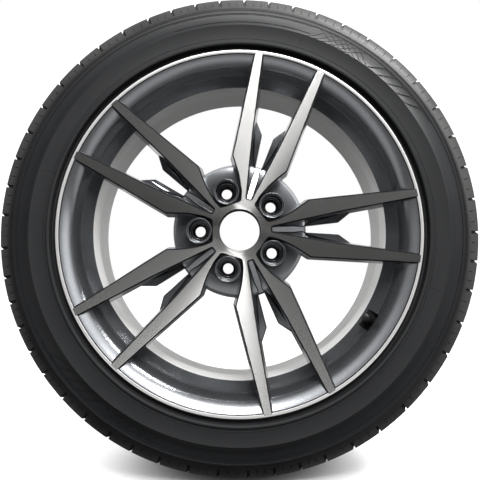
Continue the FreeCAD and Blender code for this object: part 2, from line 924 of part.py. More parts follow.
def make_core_cup():
    """Rubber-faced cup at the foot of the pin, which closes the core from below."""
    top = core_bottom - size("cup_gap")
    return turned_piece("core_cup", [
        (pin_radius + size("rubber_wall_gap"), top - size("cup_height")),
        (core_outer - size("core_gap"), top - size("cup_height")),
        (core_outer - size("core_gap"), top),
        (pin_radius + size("rubber_wall_gap"), top),
    ])


def make_core_spring():
    """Spring round the pin, between the barrel's ledge and the pin's collar."""
    wire = size("spring_wire") / 2
    mean = (pin_radius + core_inner) / 2
    play = wire + size("rubber_wall_gap")
    length = size("spring_length") - play * 2
    pitch = length / size("spring_turns")
    path = Part.makeHelix(pitch.value, length.value, mean.value)
    ring = Part.Wire([Part.makeCircle(wire.value, Vector(mean.value, 0, 0), Vector(0, 1, 0))])
    spring = doc.addObject("Part::Feature", "core_spring")
    spring.Label = "core_spring"
    spring.Shape = Part.Wire(path.Edges).makePipeShell([ring], True, True)
    place_on_valve(spring, spring_base + play)
    return spring


cap_bore = stem_radius + size("running_gap")
seal_base = size("stem_top") + size("seal_lift")
seal_top = seal_base + size("seal_thickness")


def make_valve_cap():
    """Ribbed dust cap over the stem."""
    outer = size("cap_diameter") / 2
    edge = size("cap_wall_top")
    base = size("rubber_top") + size("cap_skirt_gap")
    ceiling = seal_top + size("core_gap")
    top = ceiling + edge
    zero = as_size(0)
    body = turned_piece("valve_cap", [
        (cap_bore, base),
        (outer, base),
        (outer, top - edge / 2),
        (outer - edge / 2, top),
        (zero, top),
        (zero, ceiling),
        (cap_bore, ceiling),
    ])
    rib = size("cap_rib")
    sketch = outline(body, "cap_rib_outline", "XY_Plane", [
        (outer - rib, -rib),
        (outer + rib, -rib),
        (outer + rib, rib),
        (outer - rib, rib),
    ], Placement(Vector(0, 0, base.value), Rotation()))
    pad = body.newObject("PartDesign::Pad", "cap_rib")
    pad.Profile = sketch
    height = top - base - edge
    pad.Length = height.value
    pad.setExpression("Length", height.text)
    body.Tip = pad
    pattern = body.newObject("PartDesign::PolarPattern", "cap_ribs")
    pattern.Originals = [pad]
    pattern.Axis = (origin_feature(body, "Z_Axis"), [""])
    pattern.Angle = 360.0
    pattern.Occurrences = int(size("cap_rib_count").value)
    pattern.setExpression("Occurrences", size("cap_rib_count").text)
    body.Tip = pattern
    return body


def make_cap_seal():
    """Rubber disc in the cap, which closes on the end of the stem."""
    zero = as_size(0)
    radius = cap_bore - size("running_gap")
    return turned_piece("cap_seal", [
        (zero, seal_base),
        (radius, seal_base),
        (radius, seal_top),
        (zero, seal_top),
    ])


def check(pieces):
    """Stop on any failed object or unsound shape, before anything is written."""
    for item in doc.Objects:
        if "Invalid" in item.State or "Error" in item.State:
            raise RuntimeError(f"{item.Label} failed: {item.State}")
    for piece in pieces:
        if piece.Shape.isNull() or not piece.Shape.isValid():
            raise RuntimeError(f"{piece.Label} has no sound shape")


pieces = [
    make_alloy_wheel(),
    make_tyre(),
    make_valve_body(),
    make_valve_stem(),
    make_core_plug(),
    make_core_barrel(),
    make_core_seal(),
    make_core_pin(),
    make_core_cup(),
    make_core_spring(),
    make_valve_cap(),
    make_cap_seal(),
]
doc.recompute()
check(pieces)
os.makedirs("parts", exist_ok=True)
for piece in pieces:
    piece.Shape.exportStep(f"parts/{piece.Label}.step")
    box = piece.Shape.BoundBox
    print(piece.Label, len(piece.Shape.Solids), round(piece.Shape.Volume), box)
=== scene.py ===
import functools
import logging
import math
from collections.abc import Callable, Sequence
from dataclasses import dataclass
from enum import Enum

import bmesh
import bpy
import numpy as np
from bpy.types import ID, Material, Mesh, Node, NodeSocket, NodeTree, Object
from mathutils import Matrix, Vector
from mathutils.geometry import tessellate_polygon


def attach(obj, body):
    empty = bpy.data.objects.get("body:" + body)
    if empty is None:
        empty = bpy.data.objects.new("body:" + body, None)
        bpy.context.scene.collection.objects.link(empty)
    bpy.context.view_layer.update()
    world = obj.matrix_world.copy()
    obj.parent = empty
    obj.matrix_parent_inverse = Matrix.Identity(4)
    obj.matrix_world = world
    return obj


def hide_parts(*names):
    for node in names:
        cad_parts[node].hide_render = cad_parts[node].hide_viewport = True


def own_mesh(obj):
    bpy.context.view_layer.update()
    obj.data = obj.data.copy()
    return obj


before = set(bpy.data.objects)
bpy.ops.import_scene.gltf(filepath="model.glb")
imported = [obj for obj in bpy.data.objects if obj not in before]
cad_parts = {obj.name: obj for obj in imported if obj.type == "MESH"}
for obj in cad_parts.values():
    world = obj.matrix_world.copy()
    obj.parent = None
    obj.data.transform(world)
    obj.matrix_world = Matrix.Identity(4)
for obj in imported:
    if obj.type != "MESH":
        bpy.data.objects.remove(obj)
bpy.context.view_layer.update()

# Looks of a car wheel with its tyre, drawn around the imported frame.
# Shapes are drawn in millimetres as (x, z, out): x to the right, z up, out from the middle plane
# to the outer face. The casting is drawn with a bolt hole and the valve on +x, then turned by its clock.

LOG = logging.getLogger("wheel")
MM = 0.001
FULL_TURN = 2 * math.pi
ARC_STEP = math.radians(12)
# Clockwise turn of the casting with its valve, in degrees
CLOCK = 34.8

# Steps round a circle: rim, tyre, hub plate, bore and bolt holes
RIM_STEPS, TYRE_STEPS, HUB_STEPS, BORE_STEPS, BOLT_STEPS = 288, 360, 120, 96, 48

Corner = tuple[float, ...]
Surface = Callable[[np.ndarray], np.ndarray]
Sockets = tuple[NodeSocket, ...]


class Face(Enum):
    """Which finish a face of the casting has, as its material slot."""

    PAINT = 0
    TURNED = 1
    BARREL = 2
    # Darker copy of the barrel finish at the rear of the barrel: painted shade
    REAR = 3
    # Near-black matte finish that paints shade and dark reflection into bores, holes, recesses, grooves and
    # the chamfers round the turned face
    BORE = 4
    LIP = 5


class Side(Enum):
    """Which side of the tyre: the value is the sign of its out direction."""

    OUTER = 1
    INNER = -1


def round_corners(corners: Sequence[Corner], closed: bool = True) -> np.ndarray:
    """Replace each corner that has a radius by an arc.

    Args:
        corners: Points (x, y) or (x, y, radius) in order.
        closed: Whether the last point joins the first.

    Returns:
        The points of the rounded outline, one row each.
    """
    places = np.array([corner[:2] for corner in corners], float)
    count = len(places)
    rounded: list[np.ndarray] = []
    for index, corner in enumerate(corners):
        here = places[index]
        radius = corner[2] if len(corner) > 2 else 0.0
        if radius <= 0 or (not closed and index in (0, count - 1)):
            rounded.append(here)
            continue
        back = places[index - 1] - here
        ahead = places[(index + 1) % count] - here
        room = 0.49 * min(np.linalg.norm(back), np.linalg.norm(ahead))
        back = back / np.linalg.norm(back)
        ahead = ahead / np.linalg.norm(ahead)
        half = math.acos(float(np.clip(back @ ahead, -1, 1))) / 2
        reach = min(radius / math.tan(half), room)
        radius = reach * math.tan(half)
        middle = (back + ahead) / np.linalg.norm(back + ahead)
        centre = here + middle * radius / math.sin(half)
        first = here + back * reach - centre
        last = here + ahead * reach - centre
        start = math.atan2(first[1], first[0])
        turn = math.remainder(math.atan2(last[1], last[0]) - start, FULL_TURN)
        steps = max(2, math.ceil(abs(turn) / ARC_STEP))
        for angle in start + turn * np.linspace(0, 1, steps + 1):
            rounded.append(centre + radius * np.array([math.cos(angle), math.sin(angle)]))
    return np.array(rounded)


def arc_between(start: Corner, end: Corner, radius: float, side: int, steps: int) -> list[Corner]:
    """Points of an arc between two points.

    Args:
        start: First point.
        end: Last point.
        radius: Radius of the arc.
        side: 1 where the centre lies left of the way, -1 right.
        steps: Number of chords.

    Returns:
        The points, both ends among them.
    """
    first, last = np.array(start[:2], float), np.array(end[:2], float)
    chord = last - first
    length = np.linalg.norm(chord)
    left = np.array([-chord[1], chord[0]]) / length
    centre = (first + last) / 2 + left * side * math.sqrt(radius * radius - length * length / 4)
    begin = math.atan2(*(first - centre)[::-1])
    turn = math.remainder(math.atan2(*(last - centre)[::-1]) - begin, FULL_TURN)
    angles = begin + turn * np.linspace(0, 1, steps + 1)
    return [(centre[0] + radius * math.cos(a), centre[1] + radius * math.sin(a)) for a in angles]


def split_long(loop: np.ndarray, longest: float) -> np.ndarray:
    """Add points on the edges of a closed loop that are longer than the given length.

    Args:
        loop: Points of the loop.
        longest: Length that an edge may have.

    Returns:
        The loop with the added points.
    """
    points: list[np.ndarray] = []
    for here, there in zip(loop, np.roll(loop, -1, axis=0)):
        parts = max(1, math.ceil(np.linalg.norm(there - here) / longest))
        points.extend(here + (there - here) * step / parts for step in range(parts))
    return np.array(points)


def offset_loop(loop: np.ndarray, distance: float) -> np.ndarray:
    """Move a closed anticlockwise loop outwards by a distance, with mitred corners.

    Args:
        loop: Points of the loop.
        distance: How far it moves.

    Returns:
        The moved loop.
    """
    ahead = np.roll(loop, -1, axis=0) - loop
    ahead = ahead / np.linalg.norm(ahead, axis=1, keepdims=True)
    behind = np.roll(ahead, 1, axis=0)
    both = ahead + behind
    outward = np.stack([both[:, 1], -both[:, 0]], axis=1)
    mitre = np.maximum(1 + (ahead * behind).sum(axis=1), 0.4)
    return loop + outward * (distance / mitre)[:, None]


def turned(points: np.ndarray, angle: float) -> np.ndarray:
    """Points (x, z, ...) turned anticlockwise in the wheel's face by an angle in radians.

    Args:
        points: One row for each point.
        angle: The turn in radians.

    Returns:
        The turned points.
    """
    cosine, sine = math.cos(angle), math.sin(angle)
    result = np.array(points, float)
    result[:, 0] = points[:, 0] * cosine - points[:, 1] * sine
    result[:, 1] = points[:, 0] * sine + points[:, 1] * cosine
    return result


def circle(radius: float, count: int, middle: Corner = (0.0, 0.0)) -> np.ndarray:
    """Points (x, z) of a circle, anticlockwise."""
    angles = np.arange(count) * FULL_TURN / count
    return np.stack([middle[0] + radius * np.cos(angles), middle[1] + radius * np.sin(angles)], axis=1)


def level_at(loop: np.ndarray, levels: Sequence[Corner]) -> np.ndarray:
    """Level at each point of a loop, read between rows (radius, level)."""
    return np.interp(np.hypot(loop[:, 0], loop[:, 1]), *zip(*levels))


def with_mirror(upper: Sequence[Corner]) -> list[Corner]:
    """Corners on one side of an axis, after their mirror images in reverse order."""
    return [(corner[0], -corner[1], *corner[2:]) for corner in reversed(upper)] + list(upper)


def add_object(name: str, data: ID) -> Object:
    """Add an object with the given data to the scene.

    Args:
        name: Name of the object.
        data: Its mesh, light or camera.

    Returns:
        The new object.
    """
    added = bpy.data.objects.new(name, data)
    bpy.context.scene.collection.objects.link(added)
    return added


class MeshDraft:
    """Vertices and faces of one piece while it is drawn."""

    def __init__(self) -> None:
        """Start with nothing drawn."""
        self.points: list[np.ndarray] = []
        self.faces: list[tuple[int, ...]] = []
        self.slots: list[int] = []
        self.count = 0

    def add(self, points: np.ndarray) -> np.ndarray:
        """Add points (x, z, out).

        Args:
            points: One row for each point.

        Returns:
            The numbers of the new points.
        """
        rows = np.asarray(points, float).reshape(-1, 3)
        self.points.append(rows)
        self.count += len(rows)
        return np.arange(self.count - len(rows), self.count)

    def add_level(self, loop: np.ndarray, out: object) -> np.ndarray:
        """Add the points (x, z) of a loop at one out, or at an out for each."""
        return self.add(np.column_stack([loop, np.broadcast_to(out, len(loop))]))

    def add_polar(self, radius: object, angle: np.ndarray, out: object) -> np.ndarray:
        """Add points by their radius, clockwise angle in radians and out."""
        level = np.broadcast_to(out, len(angle))
        return self.add(np.column_stack([radius * np.cos(angle), -radius * np.sin(angle), level]))

    def bridge(self, first: np.ndarray, second: np.ndarray, slot: int = 0, closed: bool = True) -> None:
        """Join two rows of points by quads.

        Args:
            first: Numbers of one row.
            second: Numbers of the other row, as many.
            slot: Material slot of the quads.
            closed: Whether the rows are rings.
        """
        count = len(first)
        for index in range(count if closed else count - 1):
            after = (index + 1) % count
            quad = (first[index], first[after], second[after], second[index])
            self.faces.append(tuple(int(number) for number in quad))
            self.slots.append(slot)

    def bridge_rows(self, rows: Sequence[np.ndarray], slot: int = 0) -> None:
        """Join each ring of points to the next one."""
        for first, second in zip(rows, rows[1:]):
            self.bridge(first, second, slot)

    def fill(self, loops: Sequence[np.ndarray], slot: int = 0) -> None:
        """Fill a loop with triangles, leaving the holes given by the further loops.

        Args:
            loops: Numbers of the outer loop and of each hole.
            slot: Material slot of the triangles.
        """
        points = np.concatenate(self.points)
        numbers = np.concatenate(loops)
        outlines = [[Vector((points[n, 0], points[n, 1], 0)) for n in loop] for loop in loops]
        for corners in tessellate_polygon(outlines):
            self.faces.append(tuple(int(numbers[corner]) for corner in corners))
            self.slots.append(slot)

    def lathe(
        self, profile: np.ndarray, count: int, slot_of: Callable[[float, float], int], closed: bool = True
    ) -> np.ndarray:
        """Turn a section about the axle.

        Args:
            profile: Rows (radius, out) of the section.
            count: Number of steps round the axle.
            slot_of: Material slot for the middle (radius, out) of each band.
            closed: Whether the section is a closed loop.

        Returns:
            The numbers of the points, one row for each point of the section.
        """
        rows = [self.add_level(circle(radius, count), out) for radius, out in profile]
        for index in range(len(rows) if closed else len(rows) - 1):
            after = (index + 1) % len(rows)
            middle = (profile[index] + profile[after]) / 2
            self.bridge(rows[index], rows[after], slot_of(middle[0], middle[1]))
        return np.array(rows)

    def build(
        self, name: str, materials: Sequence[Material], clock: float = 0.0, sharp: float = 32.0
    ) -> Object:
        """Make the object.

        Args:
            name: Name of the object and its mesh.
            materials: Materials in the order of the slots.
            clock: Clockwise turn of the piece in the wheel's face, in degrees.
            sharp: Edges that bend by more degrees than this stay sharp.

        Returns:
            The new object, in metres in the frame.
        """
        points = turned(np.concatenate(self.points), -math.radians(clock)) * MM
        mesh = bpy.data.meshes.new(name)
        places = np.stack([points[:, 0], -points[:, 2], points[:, 1]], axis=1)
        mesh.from_pydata(places.tolist(), [], self.faces)
        for material in materials:
            mesh.materials.append(material)
        mesh.polygons.foreach_set("material_index", self.slots)
        tidy = bmesh.new()
        tidy.from_mesh(mesh)
        bmesh.ops.recalc_face_normals(tidy, faces=tidy.faces)
        tidy.to_mesh(mesh)
        tidy.free()
        mesh.shade_smooth()
        mesh.set_sharp_from_angle(angle=math.radians(sharp))
        return add_object(name, mesh)


@dataclass
class Slab:
    """A cast plate with rounded edges and drafted walls between a front and a back surface."""

    outline: np.ndarray
    front: Surface
    back: Surface
    front_round: float
    back_round: float
    draft: float
    front_slot: Face = Face.PAINT
    edge_slot: Face = Face.PAINT
    front_steps: int = 4
    back_steps: int = 4
    edge_support: float = 0.3

    def ring(self, mesh: MeshDraft, offset: float, level: Surface, drop: float) -> np.ndarray:
        """Add the outline, moved outwards and laid on a surface, lowered by a drop."""
        loop = offset_loop(self.outline, offset)
        return mesh.add_level(loop, level(loop) - drop)

    def draw(
        self, mesh: MeshDraft, front_holes: Sequence[np.ndarray] = (), back_holes: Sequence[np.ndarray] = ()
    ) -> None:
        """Draw the plate.

        Args:
            mesh: Draft to draw in.
            front_holes: Point numbers of the holes in the front.
            back_holes: Point numbers of the holes in the back.
        """
        support = self.ring(mesh, -self.front_round - self.edge_support, self.front, 0.0)
        before = self.ring(mesh, -self.front_round, self.front, 0.0)
        mesh.fill([support, *front_holes], self.front_slot.value)
        mesh.bridge(support, before, self.front_slot.value)
        for angle in np.linspace(0, math.pi / 2, self.front_steps + 1)[1:]:
            offset = -self.front_round * (1 - math.sin(angle))
            after = self.ring(mesh, offset, self.front, self.front_round * (1 - math.cos(angle)))
            mesh.bridge(before, after, self.edge_slot.value)
            before = after
        depth = float(np.mean(self.front(self.outline) - self.back(self.outline)))
        widen = math.tan(math.radians(self.draft)) * depth
        for angle in np.linspace(0, math.pi / 2, self.back_steps + 1):
            offset = widen - self.back_round * (1 - math.cos(angle))
            after = self.ring(mesh, offset, self.back, -self.back_round * (1 - math.sin(angle)))
            mesh.bridge(before, after)
            before = after
        inner = self.ring(mesh, widen - self.back_round - self.edge_support, self.back, 0.0)
        mesh.bridge(before, inner)
        mesh.fill([inner, *back_holes])


class Graph:
    """Short way to add nodes to a tree and to link them."""

    def __init__(self, tree: NodeTree) -> None:
        """Take the tree that the nodes go into."""
        self.tree = tree

    def add(self, kind: str, inputs: dict[str, object] | None = None, **settings: object) -> Node:
        """Add a node.

        Args:
            kind: Type of the node.
            inputs: Values or sockets for its inputs, by name or number as text.
            settings: Attributes of the node.

        Returns:
            The new node.
        """
        node = self.tree.nodes.new(kind)
        for name, value in settings.items():
            setattr(node, name, value)
        for name, value in (inputs or {}).items():
            self.put(node.inputs[int(name) if name.isdigit() else name], value)
        return node

    def put(self, socket: NodeSocket, value: object) -> None:
        """Link a socket to an input, or set the input's own value.

        Args:
            socket: Input to fill.
            value: Socket to link, or the input's value.
        """
        if isinstance(value, NodeSocket):
            self.tree.links.new(value, socket)
        else:
            socket.default_value = value

    def math(self, operation: str, *values: object, clamp: bool = False) -> NodeSocket:
        """Output of a Math node."""
        inputs = {str(index): value for index, value in enumerate(values)}
        return self.add("ShaderNodeMath", inputs, operation=operation, use_clamp=clamp).outputs[0]

    def total(self, *values: object) -> NodeSocket:
        """Sum of values."""
        return functools.reduce(functools.partial(self.math, "ADD"), values)

    def product(self, *values: object) -> NodeSocket:
        """Product of values."""
        return functools.reduce(functools.partial(self.math, "MULTIPLY"), values)

    def mix(self, factor: object, first: object, second: object) -> NodeSocket:
        """Colour between two colours.

        Args:
            factor: Share of the second colour.
            first: One colour.
            second: The other colour.

        Returns:
            The mixed colour.
        """
        node = self.add("ShaderNodeMix", data_type="RGBA")
        for socket, value in zip((node.inputs[0], node.inputs[6], node.inputs[7]), (factor, first, second)):
            self.put(socket, value)
        return node.outputs[2]

    def band(
        self, value: object, low: float, high: float, first: float = 0.0, last: float = 1.0
    ) -> NodeSocket:
        """Value that goes smoothly from first to last while the input goes from low to high.

        Args:
            value: The input.
            low: Where the change starts.
            high: Where it ends.
            first: Output below low.
            last: Output above high.

        Returns:
            The output.
        """
        node = self.add(
            "ShaderNodeMapRange",
            {"Value": value, "From Min": low, "From Max": high, "To Min": first, "To Max": last},
            interpolation_type="SMOOTHSTEP",
        )
        return node.outputs[0]


class Effect:
    """Shader node groups that several finishes share, each built once."""

    @staticmethod
    def start(name: str, inputs: dict[str, float], outputs: Sequence[str]) -> tuple[Graph, dict, dict]:
        """Start a group of values.

        Args:
            name: Name of the group.
            inputs: Its inputs with their usual values.
            outputs: Its outputs.

        Returns:
            The graph of the group, its input sockets and its output sockets by name.
        """
        tree = bpy.data.node_groups.new(name, "ShaderNodeTree")
        for label, value in inputs.items():
            socket = tree.interface.new_socket(label, in_out="INPUT", socket_type="NodeSocketFloat")
            socket.default_value = value
        for label in outputs:
            tree.interface.new_socket(label, in_out="OUTPUT", socket_type="NodeSocketFloat")
        graph = Graph(tree)
        begin = graph.add("NodeGroupInput")
        end = graph.add("NodeGroupOutput")
        return graph, {k: begin.outputs[k] for k in inputs}, {k: end.inputs[k] for k in outputs}

    @staticmethod
    @functools.cache
    def grain() -> NodeTree:
        """Cloudy and fine unevenness of a surface.

        Returns:
            The group.
        """
        scales = {"Cloud Scale": 20.0, "Fine Scale": 900.0}
        graph, given, wanted = Effect.start("grain", scales, ("Cloud", "Fine"))
        place = graph.add("ShaderNodeTexCoord").outputs["Object"]
        for label, detail in (("Cloud", 4.0), ("Fine", 6.0)):
            scale = given[f"{label} Scale"]
            noise = graph.add("ShaderNodeTexNoise", {"Vector": place, "Scale": scale, "Detail": detail})
            graph.put(wanted[label], noise.outputs["Fac"])
        return graph.tree

    @staticmethod
    @functools.cache
    def rings() -> NodeTree:
        """Fine tool lines round the axle, and the radius from the axle in millimetres.

        Returns:
            The group.
        """
        graph, given, wanted = Effect.start("rings", {"Lines": 2.0, "Slope": 0.0}, ("Line", "Radius"))
        place = graph.add("ShaderNodeTexCoord").outputs["Object"]
        parts = graph.add("ShaderNodeSeparateXYZ", {"0": place}).outputs
        flat = graph.add("ShaderNodeCombineXYZ", {"X": parts["X"], "Y": parts["Z"]}).outputs[0]
        length = graph.add("ShaderNodeVectorMath", {"0": flat}, operation="LENGTH").outputs["Value"]
        radius = graph.product(length, 1 / MM)
        across = graph.total(radius, graph.product(parts["Y"], given["Slope"], 1 / MM))
        values = {"W": graph.product(across, given["Lines"]), "Scale": 1.0, "Detail": 3.0, "Roughness": 0.7}
        noise = graph.add("ShaderNodeTexNoise", values, noise_dimensions="1D")
        graph.put(wanted["Line"], noise.outputs["Fac"])
        graph.put(wanted["Radius"], radius)
        return graph.tree

    @staticmethod
    @functools.cache
    def flakes() -> NodeTree:
        """Small cells of metal in a paint, each with a brightness of its own.

        Returns:
            The group.
        """
        graph, given, wanted = Effect.start("flakes", {"Scale": 2500.0}, ("Flake",))
        place = graph.add("ShaderNodeTexCoord").outputs["Object"]
        cells = graph.add("ShaderNodeTexVoronoi", {"Vector": place, "Scale": given["Scale"]})
        shade = graph.add("ShaderNodeSeparateColor", {"0": cells.outputs["Color"]}).outputs[0]
        graph.put(wanted["Flake"], shade)
        return graph.tree


@dataclass(frozen=True)
class Finish:
    """A surface finish: its name, colours and gloss."""

    name: str
    dark: tuple[float, float, float]
    light: tuple[float, float, float]
    roughness: float
    metallic: float = 0.0
    coat: float = 0.0
    coat_roughness: float = 0.06
    specular: float = 0.5

    def make(self) -> Material:
        """Make the material: a Principled BSDF with this finish's values and surface.

        Returns:
            The new material.
        """
        material = bpy.data.materials.new(self.name)
        material.use_nodes = True
        graph = Graph(material.node_tree)
        shader = material.node_tree.nodes["Principled BSDF"]
        shader.inputs["Metallic"].default_value = self.metallic
        shader.inputs["Coat Weight"].default_value = self.coat
        shader.inputs["Coat Roughness"].default_value = self.coat_roughness
        shader.inputs["Specular IOR Level"].default_value = self.specular
        for label, value in zip(("Base Color", "Roughness", "Normal"), self.surface(graph, shader)):
            graph.put(shader.inputs[label], value)
        return material

    def surface(self, graph: Graph, shader: Node) -> Sockets:
        """Colour, roughness and normal, which each kind of finish makes in its own way."""
        raise NotImplementedError

    def group(self, graph: Graph, tree: NodeTree, **values: float) -> dict[str, NodeSocket]:
        """Place an effect with this finish's own values and give its outputs by name.

        Args:
            graph: Graph of the material.
            tree: The effect.
            values: Values for the effect's inputs.

        Returns:
            The outputs.
        """
        node = graph.add("ShaderNodeGroup", node_tree=tree)
        for label, value in values.items():
            node.inputs[label.replace("_", " ")].default_value = value
        return {socket.name: socket for socket in node.outputs}

    def colour(self, graph: Graph, factor: object) -> NodeSocket:
        """Colour between the dark and the light one."""
        return graph.mix(factor, (*self.dark, 1.0), (*self.light, 1.0))

    def rough(self, graph: Graph, factor: object, smooth: float, coarse: float) -> NodeSocket:
        """Roughness that follows a factor, between two shares of the finish's own."""
        return graph.band(factor, 0.3, 0.7, self.roughness * smooth, self.roughness * coarse)

    def bump(self, graph: Graph, height: object, depth: float, strength: float) -> NodeSocket:
        """Normal of a surface raised by a height of at most the given depth in millimetres."""
        values = {"Height": height, "Distance": depth * MM, "Strength": strength}
        return graph.add("ShaderNodeBump", values).outputs[0]


@dataclass(frozen=True)
class TurnedMetal(Finish):
    """Bare metal cut on a lathe, with fine rings round the axle."""

    lines: float = 3.0
    slope: float = 0.0
    anisotropy: float = 0.0
    depth: float = 0.01
    contrast: float = 1.0

    def surface(self, graph: Graph, shader: Node) -> Sockets:
        """Rings in colour, gloss and relief, with a fan of light across them where the cut is fine.

        Args:
            graph: Graph of the material.
            shader: Its Principled BSDF.

        Returns:
            Colour, roughness and normal.
        """
        ring = self.group(graph, Effect.rings(), Lines=self.lines, Slope=self.slope)
        cloud = self.group(graph, Effect.grain(), Cloud_Scale=9.0, Fine_Scale=700.0)["Cloud"]
        shade = graph.total(graph.math("MULTIPLY_ADD", ring["Line"], 0.7, -0.1), graph.product(cloud, 0.4))
        rough = self.rough(graph, ring["Line"], 1 - 0.15 * self.contrast, 1 + 0.2 * self.contrast)
        if self.anisotropy:
            shader.inputs["Anisotropic"].default_value = self.anisotropy
            shader.inputs["Anisotropic Rotation"].default_value = 0.25
            tangent = graph.add("ShaderNodeTangent", direction_type="RADIAL", axis="Y")
            graph.put(shader.inputs["Tangent"], tangent.outputs[0])
        return self.colour(graph, shade), rough, self.bump(graph, ring["Line"], self.depth, 0.35)


@dataclass(frozen=True)
class FlakePaint(Finish):
    """Metallic paint under a clear coat, a little uneven as on a casting."""

    flake: float = 2600.0
    peel: float = 0.03

    def surface(self, graph: Graph, shader: Node) -> Sockets:
        """Flakes and clouds in the colour, and a slight peel.

        Args:
            graph: Graph of the material.
            shader: Its Principled BSDF, not used here.

        Returns:
            Colour, roughness and normal.
        """
        flake = self.group(graph, Effect.flakes(), Scale=self.flake)["Flake"]
        grain = self.group(graph, Effect.grain(), Cloud_Scale=14.0, Fine_Scale=420.0)
        shade = graph.total(graph.product(flake, 0.55), graph.product(grain["Cloud"], 0.5))
        rough = self.rough(graph, grain["Cloud"], 0.9, 1.15)
        return self.colour(graph, shade), rough, self.bump(graph, grain["Fine"], self.peel, 0.25)


@dataclass(frozen=True)
class Moulded(Finish):
    """Rubber or plastic from a mould: cloudy, with a fine grain."""

    cloud: float = 40.0
    fine: float = 1500.0
    depth: float = 0.05

    def surface(self, graph: Graph, shader: Node) -> Sockets:
        """Clouds and grain in the colour, and the grain as relief.

        Args:
            graph: Graph of the material.
            shader: Its Principled BSDF, not used here.

        Returns:
            Colour, roughness and normal.
        """
        grain = self.group(graph, Effect.grain(), Cloud_Scale=self.cloud, Fine_Scale=self.fine)
        shade = graph.total(graph.product(grain["Cloud"], 0.7), graph.product(grain["Fine"], 0.3))
        rough = self.rough(graph, grain["Cloud"], 0.9, 1.12)
        return self.colour(graph, shade), rough, self.bump(graph, grain["Fine"], self.depth, 0.4)


@dataclass(frozen=True)
class TyreRubber(Finish):
    """Tyre rubber: a paler lower wall, a darker upper wall and a dusty tread."""

    wall_step: float = 284.5
    tread_start: float = 307.0
    tread: tuple[float, float, float] = (0.042, 0.041, 0.040)

    def surface(self, graph: Graph, shader: Node) -> Sockets:
        """Zones by the radius from the axle, with clouds, and rings and grain as relief.

        Args:
            graph: Graph of the material.
            shader: Its Principled BSDF, not used here.

        Returns:
            Colour, roughness and normal.
        """
        ring = self.group(graph, Effect.rings(), Lines=0.9)
        grain = self.group(graph, Effect.grain(), Cloud_Scale=16.0, Fine_Scale=1300.0)
        radius, cloud = ring["Radius"], grain["Cloud"]
        wall = graph.band(radius, self.wall_step - 1.2, self.wall_step + 1.2, 1.0, 0.0)
        mottle = graph.band(cloud, 0.25, 0.75, 0.0, 0.5)
        shade = graph.math("ADD", graph.product(wall, 0.65), mottle, clamp=True)
        tread = graph.band(radius, self.tread_start, self.tread_start + 6, 0.0, 0.75)
        worn = graph.product(tread, graph.band(cloud, 0.2, 0.6, 0.5, 1.0))
        colour = graph.mix(worn, self.colour(graph, shade), (*self.tread, 1.0))
        upper = self.roughness * 0.86
        rough = graph.band(radius, self.wall_step - 2, self.wall_step + 2, self.roughness, upper)
        rough = graph.total(rough, graph.product(tread, 0.15))
        fine = graph.total(grain["Fine"], graph.product(ring["Line"], 0.8))
        return colour, rough, self.bump(graph, fine, 0.06, 0.35)


GUNMETAL = FlakePaint("gunmetal_paint", (0.125, 0.13, 0.137), (0.285, 0.295, 0.31), 0.22, 0.9, 0.4, 0.2)
LIP_METAL = TurnedMetal(
    "turned_lip", (0.62, 0.615, 0.605), (0.80, 0.795, 0.785), 0.34, 0.7, lines=1.2, depth=0.0006,
)
# Near-black matte finish: painted shade and dark reflection, not a real coating
SHADE_BLACK_FINISH = Moulded("painted_shade_black", (0.003, 0.003, 0.0035), (0.008, 0.008, 0.009), 0.75, specular=0.12)
BARREL_PAINT = TurnedMetal(
    "barrel_paint", (0.76, 0.755, 0.745), (0.95, 0.945, 0.935), 0.42, 0.7, 0.2, 0.3, slope=1.0,
)
# Darker copy of the barrel finish for the rear of the barrel: painted shade
REAR_BARREL_SHADE = TurnedMetal(
    "rear_barrel_painted_shade", (0.7, 0.695, 0.685), (0.9, 0.895, 0.885), 0.45, 0.6, 0.2, 0.3, slope=1.0,
)
TURNED_FACE = TurnedMetal(
    "turned_face", (0.59, 0.585, 0.575), (0.68, 0.675, 0.665), 0.25, 1.0,
    lines=2.5, anisotropy=0.97, depth=0.0001, contrast=0.3,
)
# Finishes of the casting in the order of Face
WHEEL_FINISHES = (GUNMETAL, TURNED_FACE, BARREL_PAINT, REAR_BARREL_SHADE, SHADE_BLACK_FINISH, LIP_METAL)
TYRE = TyreRubber("tyre_rubber", (0.005, 0.0054, 0.0062), (0.010, 0.0104, 0.0112), 0.55, specular=0.25)
VALVE_RUBBER = Moulded("valve_rubber", (0.004, 0.004, 0.0045), (0.010, 0.010, 0.011), 0.5, specular=0.2)
CAP_PLASTIC = Moulded(
    "cap_plastic", (0.004, 0.004, 0.0045), (0.010, 0.010, 0.011), 0.3, specular=0.3, depth=0.02,
)
SEAL_RUBBER = Moulded("seal_rubber", (0.015, 0.015, 0.015), (0.05, 0.05, 0.05), 0.6)
BRASS = TurnedMetal("turned_brass", (0.55, 0.38, 0.13), (0.78, 0.58, 0.25), 0.28, 1.0, lines=6.0, slope=1.0)
STEEL = TurnedMetal("drawn_steel", (0.42, 0.42, 0.42), (0.62, 0.62, 0.62), 0.3, 1.0, lines=6.0, slope=1.0)


